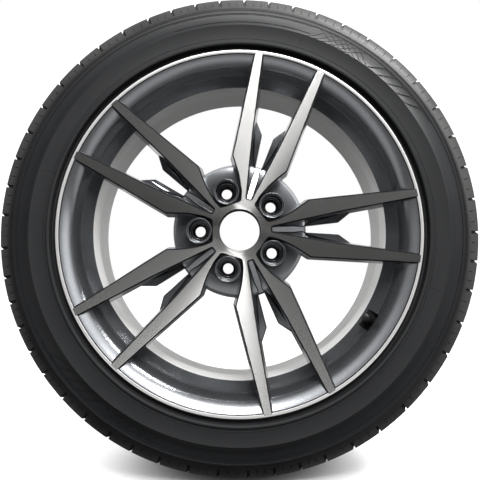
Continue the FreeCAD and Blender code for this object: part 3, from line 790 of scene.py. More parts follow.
@dataclass
class AlloyWheel:
    """The casting: hub, five pairs of spokes and rim, painted, with a turned face."""

    clock: float = CLOCK
    pairs: int = 5
    bore: float = 28.55
    hub_front: float = 88.0
    hub_ring: float = 38.0
    hub_back: float = 45.0
    pocket_floor: float = 74.0
    hub_edge: float = 93.6
    lip: float = 113.0
    lip_inner: float = 242.7
    lip_width: float = 4.4
    lip_edge: float = 1.2
    lip_depth: float = 6.0
    barrel_depth: float = 48.5
    rear_start: float = 20.0
    flange: float = 248.5
    seat: float = 231.0
    half: float = 101.6
    well: float = 207.0
    bolt_circle: float = 56.0
    draft: float = 5.0
    bevel: float = 1.8
    face_inset: float = 0.7
    spoke_inner: tuple[Corner, ...] = ((43.9, 4.2), (134.1, 21.7), (238.9, 38.7))
    spoke_tip: tuple[Corner, ...] = ((241.9, 39.2), (239.7, 49.7), (236.9, 49.5))
    slot_edge: tuple[Corner, ...] = ((92.6, 4.7), (139.0, 8.8), (162.0, 26.5), (172.0, 34.0))
    strip_edge: tuple[Corner, ...] = (
        (152.0, 26.5), (139.0, 20.0), (110.0, 12.6), (96.0, 8.2),
        (88.0, 3.8), (75.0, 5.0), (50.0, 4.4), (34.0, 3.0),
    )
    back_levels: tuple[Corner, ...] = (
        (92.6, 57.0), (104.0, 57.5), (143.5, 67.9), (209.75, 62.2), (226.0, 80.0), (229.3, 98.0),
        (246.0, 106.0),
    )
    web_levels: tuple[Corner, ...] = ((40.0, 86.5), (92.0, 71.5), (125.0, 74.5), (175.0, 72.5))
    groove_depths: tuple[Corner, ...] = ((40.0, 9.0), (92.0, 9.0), (139.0, 4.0), (175.0, 2.0))

    def rise(self) -> float:
        """How much the turned face comes out for each millimetre of radius."""
        return (self.lip - self.hub_front) / (self.lip_inner - self.hub_ring)

    def pair_angles(self) -> list[float]:
        """Angle of the middle of each pair of spokes, in radians."""
        return [math.pi / self.pairs * (2 * pair + 1) for pair in range(self.pairs)]

    def face_out(self, loop: np.ndarray) -> np.ndarray:
        """Turned face of hub and spokes: flat at the hub, then rising to the lip."""
        beyond = np.maximum(np.hypot(loop[:, 0], loop[:, 1]) - self.hub_ring, 0)
        return np.minimum(self.hub_front + beyond * self.rise(), self.lip - 0.04)

    def spoke_back(self, loop: np.ndarray) -> np.ndarray:
        """Back of the spokes, buried in the hub and in the rim at its ends."""
        return level_at(loop, self.back_levels)

    def web_front(self, loop: np.ndarray) -> np.ndarray:
        """Sloping floor between the twin spokes."""
        return level_at(loop, self.web_levels)

    def groove_floor(self, loop: np.ndarray) -> np.ndarray:
        """Floor of the grooves beside the strip."""
        return self.web_front(loop) - level_at(loop, self.groove_depths)

    def star_outline(self) -> np.ndarray:
        """Outline of the hub ring and all spokes at the turned face.

        Returns:
            An anticlockwise loop, with a bolt hole on +x.
        """
        half_pair = math.pi / self.pairs
        cosine, sine = math.cos(half_pair), math.sin(half_pair)
        to_pair = np.array([[cosine, sine], [sine, -cosine]])
        bolt_side = [(72.0, 24.5, 60.0), (50.0, 20.3, 25.0), (37.6, 15.0, 4.0)]
        root, knee, tip = self.spoke_inner
        upper: list[Corner] = [(*root, 2.5), (*knee, 40.0), tip, *self.spoke_tip, (96.2, 38.7, 1.6)]
        upper += [(*(to_pair @ np.array(corner[:2])), corner[2]) for corner in bolt_side]
        arc = [half_pair * share for share in (0.72, 0.86)]
        upper += [(self.hub_ring * math.cos(a), self.hub_ring * math.sin(a)) for a in arc]
        whole: list[Corner] = []
        for angle in self.pair_angles():
            for corner in with_mirror(upper):
                place = turned(np.array([corner[:2]]), angle)[0]
                whole.append((*place, *corner[2:]))
        return split_long(round_corners(whole), 7.0)

    def draw_star(self, mesh: MeshDraft) -> None:
        """Hub ring and spokes with their turned face, and the bore through the ring.

        Args:
            mesh: Draft to draw in.
        """
        chamfer = 0.5
        front = self.hub_front
        edge = ((self.bore + chamfer, front), (self.bore, front - chamfer), (self.bore, 60.0))
        rings = [mesh.add_level(circle(radius, BORE_STEPS), out) for radius, out in edge]
        loop = circle(self.bore, BORE_STEPS)
        rings.append(mesh.add_level(loop, self.spoke_back(loop)))
        # The bore walls get the near-black finish: painted shade
        mesh.bridge_rows(rings, Face.BORE.value)
        outline = offset_loop(self.star_outline(), self.bevel - self.face_inset)
        # The chamfer round the turned face gets the near-black finish: a painted dark outline of shade and
        # dark reflection
        star = Slab(
            outline, self.face_out, self.spoke_back, self.bevel, 2.0, self.draft,
            Face.TURNED, Face.BORE, front_steps=1,
        )
        star.draw(mesh, [rings[0]], [rings[-1]])

    def draw_webs(self, mesh: MeshDraft) -> None:
        """Between the twin spokes: a sunk floor with a strip that parts into two wings round a slot.

        Args:
            mesh: Draft to draw in.
        """
        rounds = (2.0, 2.5, 1.0, 0.0)
        slot = [(*corner, radius) for corner, radius in zip(self.slot_edge, rounds)]
        floor = slot + [(125.0, 31.0), (60.0, 14.0), (34.0, 7.0)]
        strip = slot + [(*corner, 3.0) for corner in self.strip_edge]
        for upper, front, edge in ((floor, self.groove_floor, 0.8), (strip, self.web_front, 1.2)):
            outline = split_long(round_corners(with_mirror(upper)), 6.0)
            for angle in self.pair_angles():
                # The front edges of the webs get the near-black finish: painted shade
                web = Slab(
                    turned(outline, angle), front, self.spoke_back, edge, 0.8, self.draft / 2,
                    edge_slot=Face.BORE, front_steps=2,
                )
                web.draw(mesh)

    def draw_hub(self, mesh: MeshDraft) -> None:
        """Hub plate with the sloping floors of the bolt pockets, collars, bolt seats and mounting face.

        Args:
            mesh: Draft to draw in.
        """
        inner = 33.0
        edge = round_corners([
            (76.0, self.pocket_floor), (self.hub_edge - 4.4, self.pocket_floor - 2.4, 0.5),
            (self.hub_edge - 1.0, self.pocket_floor - 4.1, 0.4), (self.hub_edge, self.pocket_floor - 7.0),
            (self.hub_edge + 1.2, 56.0, 2.0), (80.0, self.hub_back, 2.0), (76.0, self.hub_back),
        ], closed=False)
        outer = mesh.lathe(edge, HUB_STEPS, lambda radius, out: Face.PAINT.value, closed=False)
        bore = np.array([
            (inner, self.pocket_floor + 5.0), (inner, 63.0), (self.bore + 0.2, 61.5),
            (self.bore + 0.2, self.hub_back + 2.5), (self.bore + 2.7, self.hub_back),
        ])
        # The bore of the hub plate gets the near-black finish: painted shade
        centre = mesh.lathe(bore, HUB_STEPS, lambda radius, out: Face.BORE.value, closed=False)
        collar = round_corners([
            (19.0, self.pocket_floor), (17.7, self.pocket_floor, 1.0), (17.7, 90.2, 0.35),
            (16.6, 90.2, 0.35), (16.4, 86.0, 0.4), (14.7, 86.0, 0.4), (14.7, 62.7, 1.0), (10.6, 62.7, 0.4),
            (7.5, 57.0, 0.4), (7.5, self.hub_back, 0.4), (8.2, self.hub_back),
        ], closed=False)
        fronts, backs = [], []
        for bolt in range(self.pairs):
            angle = FULL_TURN / self.pairs * bolt
            middle = (self.bolt_circle * math.cos(angle), self.bolt_circle * math.sin(angle))
            rows = [mesh.add_level(circle(radius, BOLT_STEPS, middle), out) for radius, out in collar]
            for first, second, step in zip(rows, rows[1:], np.diff(collar, axis=0)):
                # Steep walls of the bolt holes get the near-black finish: painted shade
                steep = abs(step[1]) > 3 * abs(step[0]) + 2.0
                mesh.bridge(first, second, Face.BORE.value if steep else Face.PAINT.value)
            fronts.append(rows[0])
            backs.append(rows[-1])
        mesh.fill([outer[0], centre[0], *fronts])
        mesh.fill([outer[-1], centre[-1], *backs], Face.BARREL.value)

    def rim_slot(self, radius: float, out: float) -> int:
        """Finish of the rim at a point of its section.

        Args:
            radius: Radius of the point.
            out: Out of the point.

        Returns:
            Material slot.
        """
        # The step inside the lip and the flange's outer edge get the near-black finish, painted shade and
        # dark reflection; the band between is the turned lip
        if out > self.lip - self.lip_depth and radius > self.lip_inner - self.lip_edge:
            across = self.lip_inner < radius < self.lip_inner + self.lip_width
            on_turned_lip = across and out > self.lip - self.lip_edge
            return Face.LIP.value if on_turned_lip else Face.BORE.value
        # The rear of the barrel takes the darker copy of the barrel finish: painted shade
        if out < self.rear_start:
            return Face.REAR.value
        if out < self.lip - self.barrel_depth or (radius > self.seat and out < self.half + 1):
            return Face.BARREL.value
        return Face.PAINT.value

    def rim_section(self) -> np.ndarray:
        """Closed section of the rim, from the lip round the bead seats and the barrel.

        Returns:
            Rows (radius, out).
        """
        step = self.lip - 1.6
        cove = arc_between((225.6, step - 13.6), (241.4, step - 0.3), 36.0, -1, 10)
        corners: list[Corner] = [
            (self.lip_inner, self.lip - 0.6, 0.3), (245.3, self.lip, 8.0),
            (self.flange, self.lip - 0.8, 0.8), (self.flange, self.half, 9.5),
            (self.seat, self.half, 6.0), (self.seat - 1.7, 75.0, 3.0),
            (213.0, 59.0, 5.0), (213.0, 20.0, 5.0), (227.0, -8.0, 5.0), (self.seat - 1.7, -75.0, 3.0),
            (self.seat, -self.half, 6.0), (self.flange, -self.half, 9.5), (self.flange, -self.lip, 1.2),
            (225.0, -self.lip, 1.2), (223.0, -111.0, 1.2), (223.0, -14.0, 8.0), (self.well, 22.0, 8.0),
            (self.well, 65.0, 2.5), (220.5, 81.0, 14.0), *cove,
            (242.0, step, 0.2), (self.lip_inner, step, 0.2),
        ]
        return round_corners(corners)

    def valve_cutter(self, materials: Sequence[Material], seat: "Valve") -> Object:
        """Rounded block and round hole that make the valve's seat in the rim.

        Args:
            materials: Finishes in the order of Face.
            seat: The valve.

        Returns:
            The cutter as one object.
        """
        mesh = MeshDraft()
        corners = ((-14.0, -13.0), (9.5, -13.0), (9.5, 13.0), (-14.0, 13.0))
        square = round_corners([(*corner, 3.0) for corner in corners])
        recess = [
            mesh.add(seat.place(square * share, height)) for height, share in ((2.0, 1.0), (16.0, 1.06))
        ]
        drill = [mesh.add(seat.place(circle(5.75, BOLT_STEPS), height)) for height in (-16.0, 6.0)]
        # Walls and floors of the valve recess and hole get the near-black finish: painted shade
        for bottom, top in (recess, drill):
            mesh.bridge(bottom, top, Face.BORE.value)
            mesh.fill([bottom], Face.BORE.value)
            mesh.fill([top], Face.BORE.value)
        return mesh.build("valve_cutter", materials, self.clock)

    def set_face_normals(self, mesh: Mesh) -> None:
        """Give the turned face the normals of its true cone, so that its long facets don't show.

        Args:
            mesh: Mesh of the casting.
        """
        normals = np.array([corner.vector for corner in mesh.corner_normals])
        for polygon in mesh.polygons:
            if polygon.material_index != Face.TURNED.value:
                continue
            for corner in polygon.loop_indices:
                place = mesh.vertices[mesh.loops[corner].vertex_index].co
                radius = math.hypot(place.x, place.z)
                slope = self.rise() if radius > self.hub_ring * MM else 0.0
                way = Vector((-slope * place.x / radius, -1.0, -slope * place.z / radius))
                normals[corner] = way.normalized()
        mesh.normals_split_custom_set(normals.tolist())

    def build(self, materials: Sequence[Material], seat: "Valve") -> Object:
        """Draw the whole casting.

        Args:
            materials: Finishes in the order of Face.
            seat: The valve, whose hole and recess are cut into the rim.

        Returns:
            The casting as one object.
        """
        rim = MeshDraft()
        rim.lathe(self.rim_section(), RIM_STEPS, self.rim_slot)
        ring = rim.build("rim_ring", materials, self.clock)
        cutter = self.valve_cutter(materials, seat)
        cut = ring.modifiers.new("valve_seat", "BOOLEAN")
        cut.operation = "DIFFERENCE"
        cut.solver = "EXACT"
        cut.use_self = True
        cut.object = cutter
        bpy.context.view_layer.update()
        whole = bpy.data.meshes.new_from_object(ring.evaluated_get(bpy.context.evaluated_depsgraph_get()))
        disc = MeshDraft()
        self.draw_star(disc)
        self.draw_webs(disc)
        self.draw_hub(disc)
        casting = disc.build("alloy_wheel_casting", materials, self.clock)
        joined = bmesh.new()
        joined.from_mesh(casting.data)
        joined.from_mesh(whole)
        joined.to_mesh(casting.data)
        joined.free()
        casting.data.set_sharp_from_angle(angle=math.radians(24))
        self.set_face_normals(casting.data)
        for spare in (ring, cutter):
            bpy.data.objects.remove(spare)
        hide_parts("alloy_wheel")
        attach(casting, "wheel")
        return casting


@dataclass
class Valve:
    """Snap-in valve in the front slope of the rim, drawn along its own leaning axis."""

    clock: float = CLOCK
    radius: float = 218.0
    out: float = 70.0
    tilt: float = 22.0
    cap_ribs: int = 24
    rib_height: float = 0.18
    spring_keep: float = 0.75

    def place(self, across: np.ndarray, height: float) -> np.ndarray:
        """Points of the wheel for points across the valve's axis, at a height along it.

        Args:
            across: Rows (towards the rim, round the wheel) from the valve's axis.
            height: Distance out along the valve's axis from its seat.

        Returns:
            Rows (x, z, out).
        """
        cosine, sine = math.cos(math.radians(self.tilt)), math.sin(math.radians(self.tilt))
        x = self.radius - height * sine + across[:, 0] * cosine
        out = self.out + height * cosine + across[:, 0] * sine
        return np.column_stack([x, across[:, 1], out])

    def turn(self, name: str, corners: Sequence[Corner], material: Material, ribs: int = 0) -> Object:
        """Turn a section about the valve's axis.

        Args:
            name: Name of the piece.
            corners: Closed loop of corners (radius, height) or (radius, height, rounding).
            material: Finish of the piece.
            ribs: Number of grip ribs round its outermost stretch.

        Returns:
            The new object.
        """
        mesh = MeshDraft()
        profile = round_corners(corners)
        count = max(48, ribs * 6)
        angles = np.arange(count) * FULL_TURN / count
        grip = self.rib_height * np.clip(np.cos(angles * ribs) * 1.6, -1, 1) if ribs else 0.0
        widest = profile[:, 0].max()
        rows = []
        for radius, height in profile:
            reach = radius + (grip if radius > widest - 0.25 else 0.0)
            across = np.stack([reach * np.cos(angles), reach * np.sin(angles)], axis=1)
            rows.append(mesh.add(self.place(across, height)))
        mesh.bridge_rows([*rows, rows[0]])
        return mesh.build(name, [material], self.clock)

    def build_body(self, material: Material) -> Object:
        """Rubber body with its bulb, snap groove and cone.

        Args:
            material: The rubber.

        Returns:
            The body as one object.
        """
        corners = [
            (3.87, -9.0), (8.0, -9.0, 1.5), (9.5, -7.4, 1.2), (9.5, -3.4, 1.2), (8.2, -2.05, 0.5),
            (5.7, -2.05, 0.3), (5.7, 2.05, 0.3), (7.4, 2.05, 0.5), (7.4, 4.0, 0.8), (6.0, 10.0, 5.0),
            (4.7, 22.0, 0.5), (3.87, 22.0),
        ]
        body = self.turn("valve_body_rubber", corners, material)
        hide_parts("valve_body")
        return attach(body, "wheel")

    def build_cap(self, material: Material) -> Object:
        """Dust cap with grip ribs and a domed end.

        Args:
            material: The plastic.

        Returns:
            The cap as one object.
        """
        corners = [
            (3.95, 22.5), (4.9, 22.5, 0.3), (5.25, 23.2, 0.3), (5.25, 33.6, 0.8), (4.4, 35.3, 0.9),
            (1.2, 35.78, 0.5), (0.02, 35.8), (0.02, 34.2), (3.95, 34.2, 0.2),
        ]
        cap = self.turn("valve_cap_ribbed", corners, material, self.cap_ribs)
        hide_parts("valve_cap")
        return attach(cap, "cap")

    def build_spring(self, material: Material) -> Object:
        """Spring of the core, copied from its CAD mesh; on the valve it gets shorter as the pin is pressed,
        which nothing here draws.

        Args:
            material: The steel.

        Returns:
            The spring as one object.
        """
        spring = add_object("core_spring_coil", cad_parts["core_spring"].data.copy())
        spring.data.materials.clear()
        spring.data.materials.append(material)
        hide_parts("core_spring")
        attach(spring, "wheel")
        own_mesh(spring)
        return spring


@dataclass
class Tyre:
    """The moulded tyre: carcass, tread bands with their grooves, and the relief of its side walls."""

    crown: float = 334.35
    tread_half: float = 92.0
    tread_drop: float = 7.0
    widest: float = 118.0
    widest_radius: float = 281.0
    shoulder_radius: float = 306.0
    shoulder_in: float = 7.5
    groove_depth: float = 7.5
    inner_groove: float = 20.0
    inner_groove_half: float = 5.0
    outer_groove: float = 58.0
    outer_groove_half: float = 4.5
    lean: float = 12.0
    guard: float = 256.5
    wall_lines: tuple[float, ...] = (304.6, 300.0, 262.0)
    panel_inner: float = 286.6
    panel_outer: float = 298.6
    pitch_order: str = "MMLLLLLMMSSSMMMMSMMMSSSSMLMMMMMMSMMSSSSSSSMMLLLLLLL"

    def pitches(self) -> list[tuple[float, float]]:
        """Start and length of each tread pitch, clockwise in radians.

        Returns:
            Rows (start, length).
        """
        lengths = np.array([{"S": 6.2, "M": 7.1, "L": 8.1}[letter] for letter in self.pitch_order])
        lengths = lengths * FULL_TURN / lengths.sum()
        starts = np.concatenate([[0.0], np.cumsum(lengths)[:-1]])
        return list(zip(starts, lengths))

    def crown_radius(self, out: float) -> float:
        """Radius of the tread at a distance from the middle plane."""
        return self.crown - self.tread_drop * (out / self.tread_half) ** 2

    def wall(self) -> np.ndarray:
        """Outside of the section from the edge of the tread to the bead, as rows (radius, out).

        Returns:
            The rows.
        """
        edge = (self.crown_radius(self.tread_half), self.tread_half)
        shoulder = (self.shoulder_radius, self.widest - self.shoulder_in)
        broad = (self.widest_radius, self.widest - 0.2)
        rows = arc_between(edge, shoulder, 28.0, -1, 10)
        rows += arc_between(shoulder, broad, 45.5, -1, 12)[1:]
        rows += arc_between(broad, (self.guard + 2.4, self.widest - 2.3), 107.0, -1, 8)[1:]
        ridge = ((0.9, 0.3), (-0.6, 0.1), (-2.4, 1.0))
        rows += [(self.guard + beyond, self.widest - below) for beyond, below in ridge]
        return np.array(rows)

    def out_at(self, radius: np.ndarray) -> np.ndarray:
        """How far out the side wall lies at a radius between the rim guard and the shoulder."""
        wall = self.wall()[::-1]
        return np.interp(radius, wall[:, 0], wall[:, 1])

    def lined_wall(self) -> list[Corner]:
        """Side wall below the shoulder with its fine raised lines, as rows (radius, out).

        Returns:
            The rows.
        """
        wall = self.wall()
        side = [tuple(row) for row in wall[wall[:, 0] < self.shoulder_radius + 4.0]]
        ridge = ((0.5, 0.0), (0.2, 0.45), (-0.2, 0.45), (-0.5, 0.0))
        rows: list[Corner] = []
        for start, end in zip(side, side[1:]):
            rows.append(start)
            for line in self.wall_lines:
                if end[0] < line < start[0]:
                    share = (start[0] - line) / (start[0] - end[0])
                    out = start[1] + (end[1] - start[1]) * share
                    rows += [(line + beside, out + lift) for beside, lift in ridge]
        return rows + side[-1:]

    def draw_carcass(self, mesh: MeshDraft) -> None:
        """Body of the tyre under the tread bands, with side walls, beads and inner lining.

        Args:
            mesh: Draft to draw in.
        """
        floor = [(self.crown_radius(out) - self.groove_depth, out) for out in np.linspace(0, 86, 9)]
        join = [(self.shoulder_radius + 9.0, self.widest - 19.0)]
        bead = [
            (253.2, 113.0), (252.6, 107.5), (247.7, 106.2), (245.0, 103.0), (239.0, 101.5), (234.5, 101.4),
            (231.4, 99.6), (231.1, 95.6), (230.2, 81.6), (234.7, 80.6), (252.3, 94.1), (281.0, 110.4),
            (306.0, 103.0), (315.5, 84.5),
        ]
        liner = [(317.5, 60.0), (318.6, 30.0)]
        half = floor + join + self.lined_wall() + bead + liner
        lower = [(radius, -out) for radius, out in reversed(half[1:])]
        mesh.lathe(np.array(half + [(318.8, 0.0)] + lower), TYRE_STEPS, lambda radius, out: 0)

    def cut_columns(self, cuts: Sequence[Corner]) -> tuple[np.ndarray, np.ndarray, np.ndarray]:
        """Lines across the tread for one cut or more in each pitch.

        Args:
            cuts: For each cut its place in the pitch, half its width in millimetres and which cut it is.

        Returns:
            Angle of each line, how deep it is cut from 0 to 1, and which cut it belongs to.
        """
        angles, depths, kinds = [], [], []
        for start, length in self.pitches():
            for share, half, kind in cuts:
                wall = min(0.35, half * 0.4)
                edges = (-half - 0.6, -half, -half + wall, half - wall, half, half + 0.6)
                angles += [start + share * length + edge / self.crown for edge in edges]
                depths += [0, 0, 1, 1, 0, 0]
                kinds += [kind] * len(edges)
        return np.array(angles), np.array(depths, float), np.array(kinds)

    def draw_shoulder(self, mesh: MeshDraft, side: Side) -> None:
        """Shoulder band with a cross groove and two short slits in each pitch.

        Args:
            mesh: Draft to draw in.
            side: Which side of the tyre.
        """
        cuts = ((0.0, 2.0, 0), (0.36, 0.5, 1), (0.68, 0.5, 1))
        angles, cut, kind = self.cut_columns(cuts)
        column = np.arange(len(angles)) % (6 * len(cuts))
        linked = (column > 7) & (column < 16)
        start = self.outer_groove + self.outer_groove_half
        flat = [(self.crown_radius(out), out) for out in np.linspace(start, self.tread_half, 9)]
        coarse = np.array(flat + [tuple(row) for row in self.wall()[1:11]])
        way = np.concatenate([[0], np.cumsum(np.linalg.norm(np.diff(coarse, axis=0), axis=1))])
        link_ends = (4.6, 5.0, 6.0, 6.4)
        stations = np.sort(np.concatenate([way, way[-1] - np.array(link_ends)]))
        section = np.column_stack([np.interp(stations, way, coarse[:, axis]) for axis in (0, 1)])
        tangent = np.gradient(section, stations, axis=0)
        normal = np.stack([tangent[:, 1], -tangent[:, 0]], axis=1)
        normal /= np.linalg.norm(normal, axis=1, keepdims=True)
        to_end = stations[-1] - stations
        groove = np.interp(to_end, (1.5, 5.0, 26.0, 50.0), (0.0, 1.4, 3.5, 6.5))
        slit = np.interp(to_end, (4.6, 5.0, 22.0, 25.0), (0.0, 1.4, 1.6, 0.0))
        link = np.interp(to_end, link_ends, (0.0, 1.4, 1.4, 0.0))
        middle = (self.tread_half + self.outer_groove) / 2
        across = np.minimum(section[:, 1], self.tread_half) - middle
        drift = across * math.tan(math.radians(self.lean)) / self.crown * side.value
        rows = []
        for sink, inset in ((self.groove_depth + 1.0, 0.9), (0.5, 0.0), (0.0, 0.5)):
            lowered = cut * np.where(kind == 0, 6.5, 0) if sink < 1 else 0
            out = side.value * (section[0, 1] - 0.9 + inset)
            rows.append(mesh.add_polar(section[0, 0] - sink - lowered, angles + drift[0], out))
        for index in range(1, len(section)):
            depth = np.maximum(cut * np.where(kind == 0, groove[index], slit[index]), linked * link[index])
            radius, out = section[index, :, None] - depth * normal[index, :, None]
            rows.append(mesh.add_polar(radius, angles + drift[index], side.value * out))
        radius, out = section[-1] - (1.0, 1.5)
        rows.append(mesh.add_polar(radius, angles + drift[-1], side.value * out))
        mesh.bridge_rows(rows)

    def draw_rib(self, mesh: MeshDraft, side: Side) -> None:
        """Rib between the two grooves, slotted from its outer edge once in each pitch.

        Args:
            mesh: Draft to draw in.
            side: Which side of the tyre.
        """
        angles, cut, kind = self.cut_columns(((0.0, 0.4, 1), (0.5, 1.0, 0)))
        cut = np.where(kind == 0, cut, 0)
        near = self.inner_groove + self.inner_groove_half
        far = self.outer_groove - self.outer_groove_half
        whole = [near, near, near + 0.6, near + 8.0, near + 8.5]
        slotted = [near + 9.1, near + 18.0, far - 0.6, far, far]
        depths = [0.0] * len(whole) + [5.0] * len(slotted)
        deep = self.groove_depth + 1.0
        sinks = [deep, 0.5, 0, 0, 0, 0, 0, 0, 0.5, deep]
        middle = far - 10.0
        rows = []
        for out, depth, sink in zip(whole + slotted, depths, sinks):
            drift = (out - middle) * math.tan(math.radians(2 * self.lean)) / self.crown * side.value
            radius = self.crown_radius(out) - np.maximum(cut * depth, sink)
            rows.append(mesh.add_polar(radius, angles + drift, side.value * out))
        mesh.bridge_rows(rows)

    def draw_centre(self, mesh: MeshDraft) -> None:
        """Plain rib round the middle of the tread.

        Args:
            mesh: Draft to draw in.
        """
        edge = self.inner_groove - self.inner_groove_half
        top = self.crown_radius(edge)
        half = [(top - self.groove_depth - 1.0, edge), (top - 0.5, edge)]
        half += [(self.crown_radius(out), out) for out in (edge - 0.6, edge / 2, 0.0)]
        profile = half + [(radius, -out) for radius, out in reversed(half[:-1])]
        mesh.lathe(np.array(profile), TYRE_STEPS, lambda radius, out: 0, closed=False)

    def draw_relief(
        self, mesh: MeshDraft, path: np.ndarray, width: float, height: float, side: Side
    ) -> None:
        """Raised line on the side wall.

        Args:
            mesh: Draft to draw in.
            path: Rows (radius, clockwise angle in radians).
            width: Width of the line.
            height: Height of the line above the wall.
            side: Which side wall.
        """
        along = np.gradient(np.column_stack([path[:, 0], path[:, 1] * path[:, 0].mean()]), axis=0)
        along /= np.linalg.norm(along, axis=1, keepdims=True)
        across = np.column_stack([-along[:, 1], along[:, 0]]) * width
        rows = []
        for share, lift in ((-0.5, -0.3), (-0.3, height), (0.3, height), (0.5, -0.3)):
            radius = path[:, 0] + across[:, 0] * share
            angle = path[:, 1] + across[:, 1] * share / path[:, 0]
            rows.append(mesh.add_polar(radius, angle, side.value * (self.out_at(radius) + lift)))
        for first, second in zip(rows, rows[1:] + rows[:1]):
            mesh.bridge(first, second, closed=False)
        for end in (0, -1):
            mesh.faces.append(tuple(int(row[end]) for row in rows))
            mesh.slots.append(0)

    def wall_arc(self, radius: float, start: float, end: float) -> np.ndarray:
        """Stretch of a circle on the wall between angles in degrees, as rows (radius, angle)."""
        angles = np.radians(np.linspace(start, end, max(6, int(abs(end - start) / 1.5))))
        return np.column_stack([np.full(len(angles), radius), angles])

    def wall_slant(self, start: float, lean: float, level: float) -> np.ndarray:
        """Rib from below the panel to its outer edge, with a level stretch at each end.

        Args:
            start: Angle of its foot in degrees.
            lean: Angle from its foot to its head.
            level: Share of its length that each level stretch takes.

        Returns:
            Rows (radius, angle).
        """
        share = np.linspace(0, 1, 16)
        swing = np.clip((share - level) / (1 - 2 * level), 0, 1)
        swing = swing * swing * (3 - 2 * swing)
        foot = self.panel_inner - 5
        return np.column_stack([foot + (self.panel_outer - foot) * swing, np.radians(start + lean * share)])

    def draw_ornament(self, mesh: MeshDraft, side: Side) -> None:
        """Plain relief of a side wall, the same on both halves: framed panel, slanting ribs and ticks.

        Args:
            mesh: Draft to draw in.
            side: Which side of the tyre.
        """
        edges = (self.panel_inner, self.panel_outer)
        lines = [(self.wall_arc(radius, 252, 290), 1.0, 0.6) for radius in edges]
        for index in range(6):
            lines.append((self.wall_slant(289 + index * 2.2, 6.0, 0.0), 0.7, 0.5))
            lines.append((self.wall_slant(298 + index * 2.2, -6.0, 0.0), 0.7, 0.5))
        lines += [(self.wall_slant(304 + index * 3.6, 12.0, 0.25), 1.2, 0.8) for index in range(5)]
        ticks = ((17.0, 276.0), (45.0, 266.0), (78.0, 272.0), (108.0, 276.0), (150.0, 266.0))
        for place, reach in ticks:
            radii = np.linspace(259.0, reach, 8)
            lines.append((np.column_stack([radii, np.full(len(radii), math.radians(place))]), 0.8, 0.35))
        offset = 0.0 if side is Side.OUTER else math.radians(20)
        for half in (0.0, math.pi):
            for path, width, height in lines:
                self.draw_relief(mesh, path + (0.0, half + offset), width, height, side)

    def build(self, material: Material) -> Object:
        """Draw the whole tyre.

        Args:
            material: The rubber.

        Returns:
            The tyre as one object.
        """
        mesh = MeshDraft()
        self.draw_carcass(mesh)
        self.draw_centre(mesh)
        for side in Side:
            self.draw_shoulder(mesh, side)
            self.draw_rib(mesh, side)
            self.draw_ornament(mesh, side)
        tyre = mesh.build("tyre_moulding", [material], sharp=40.0)
        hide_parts("tyre")
        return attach(tyre, "wheel")


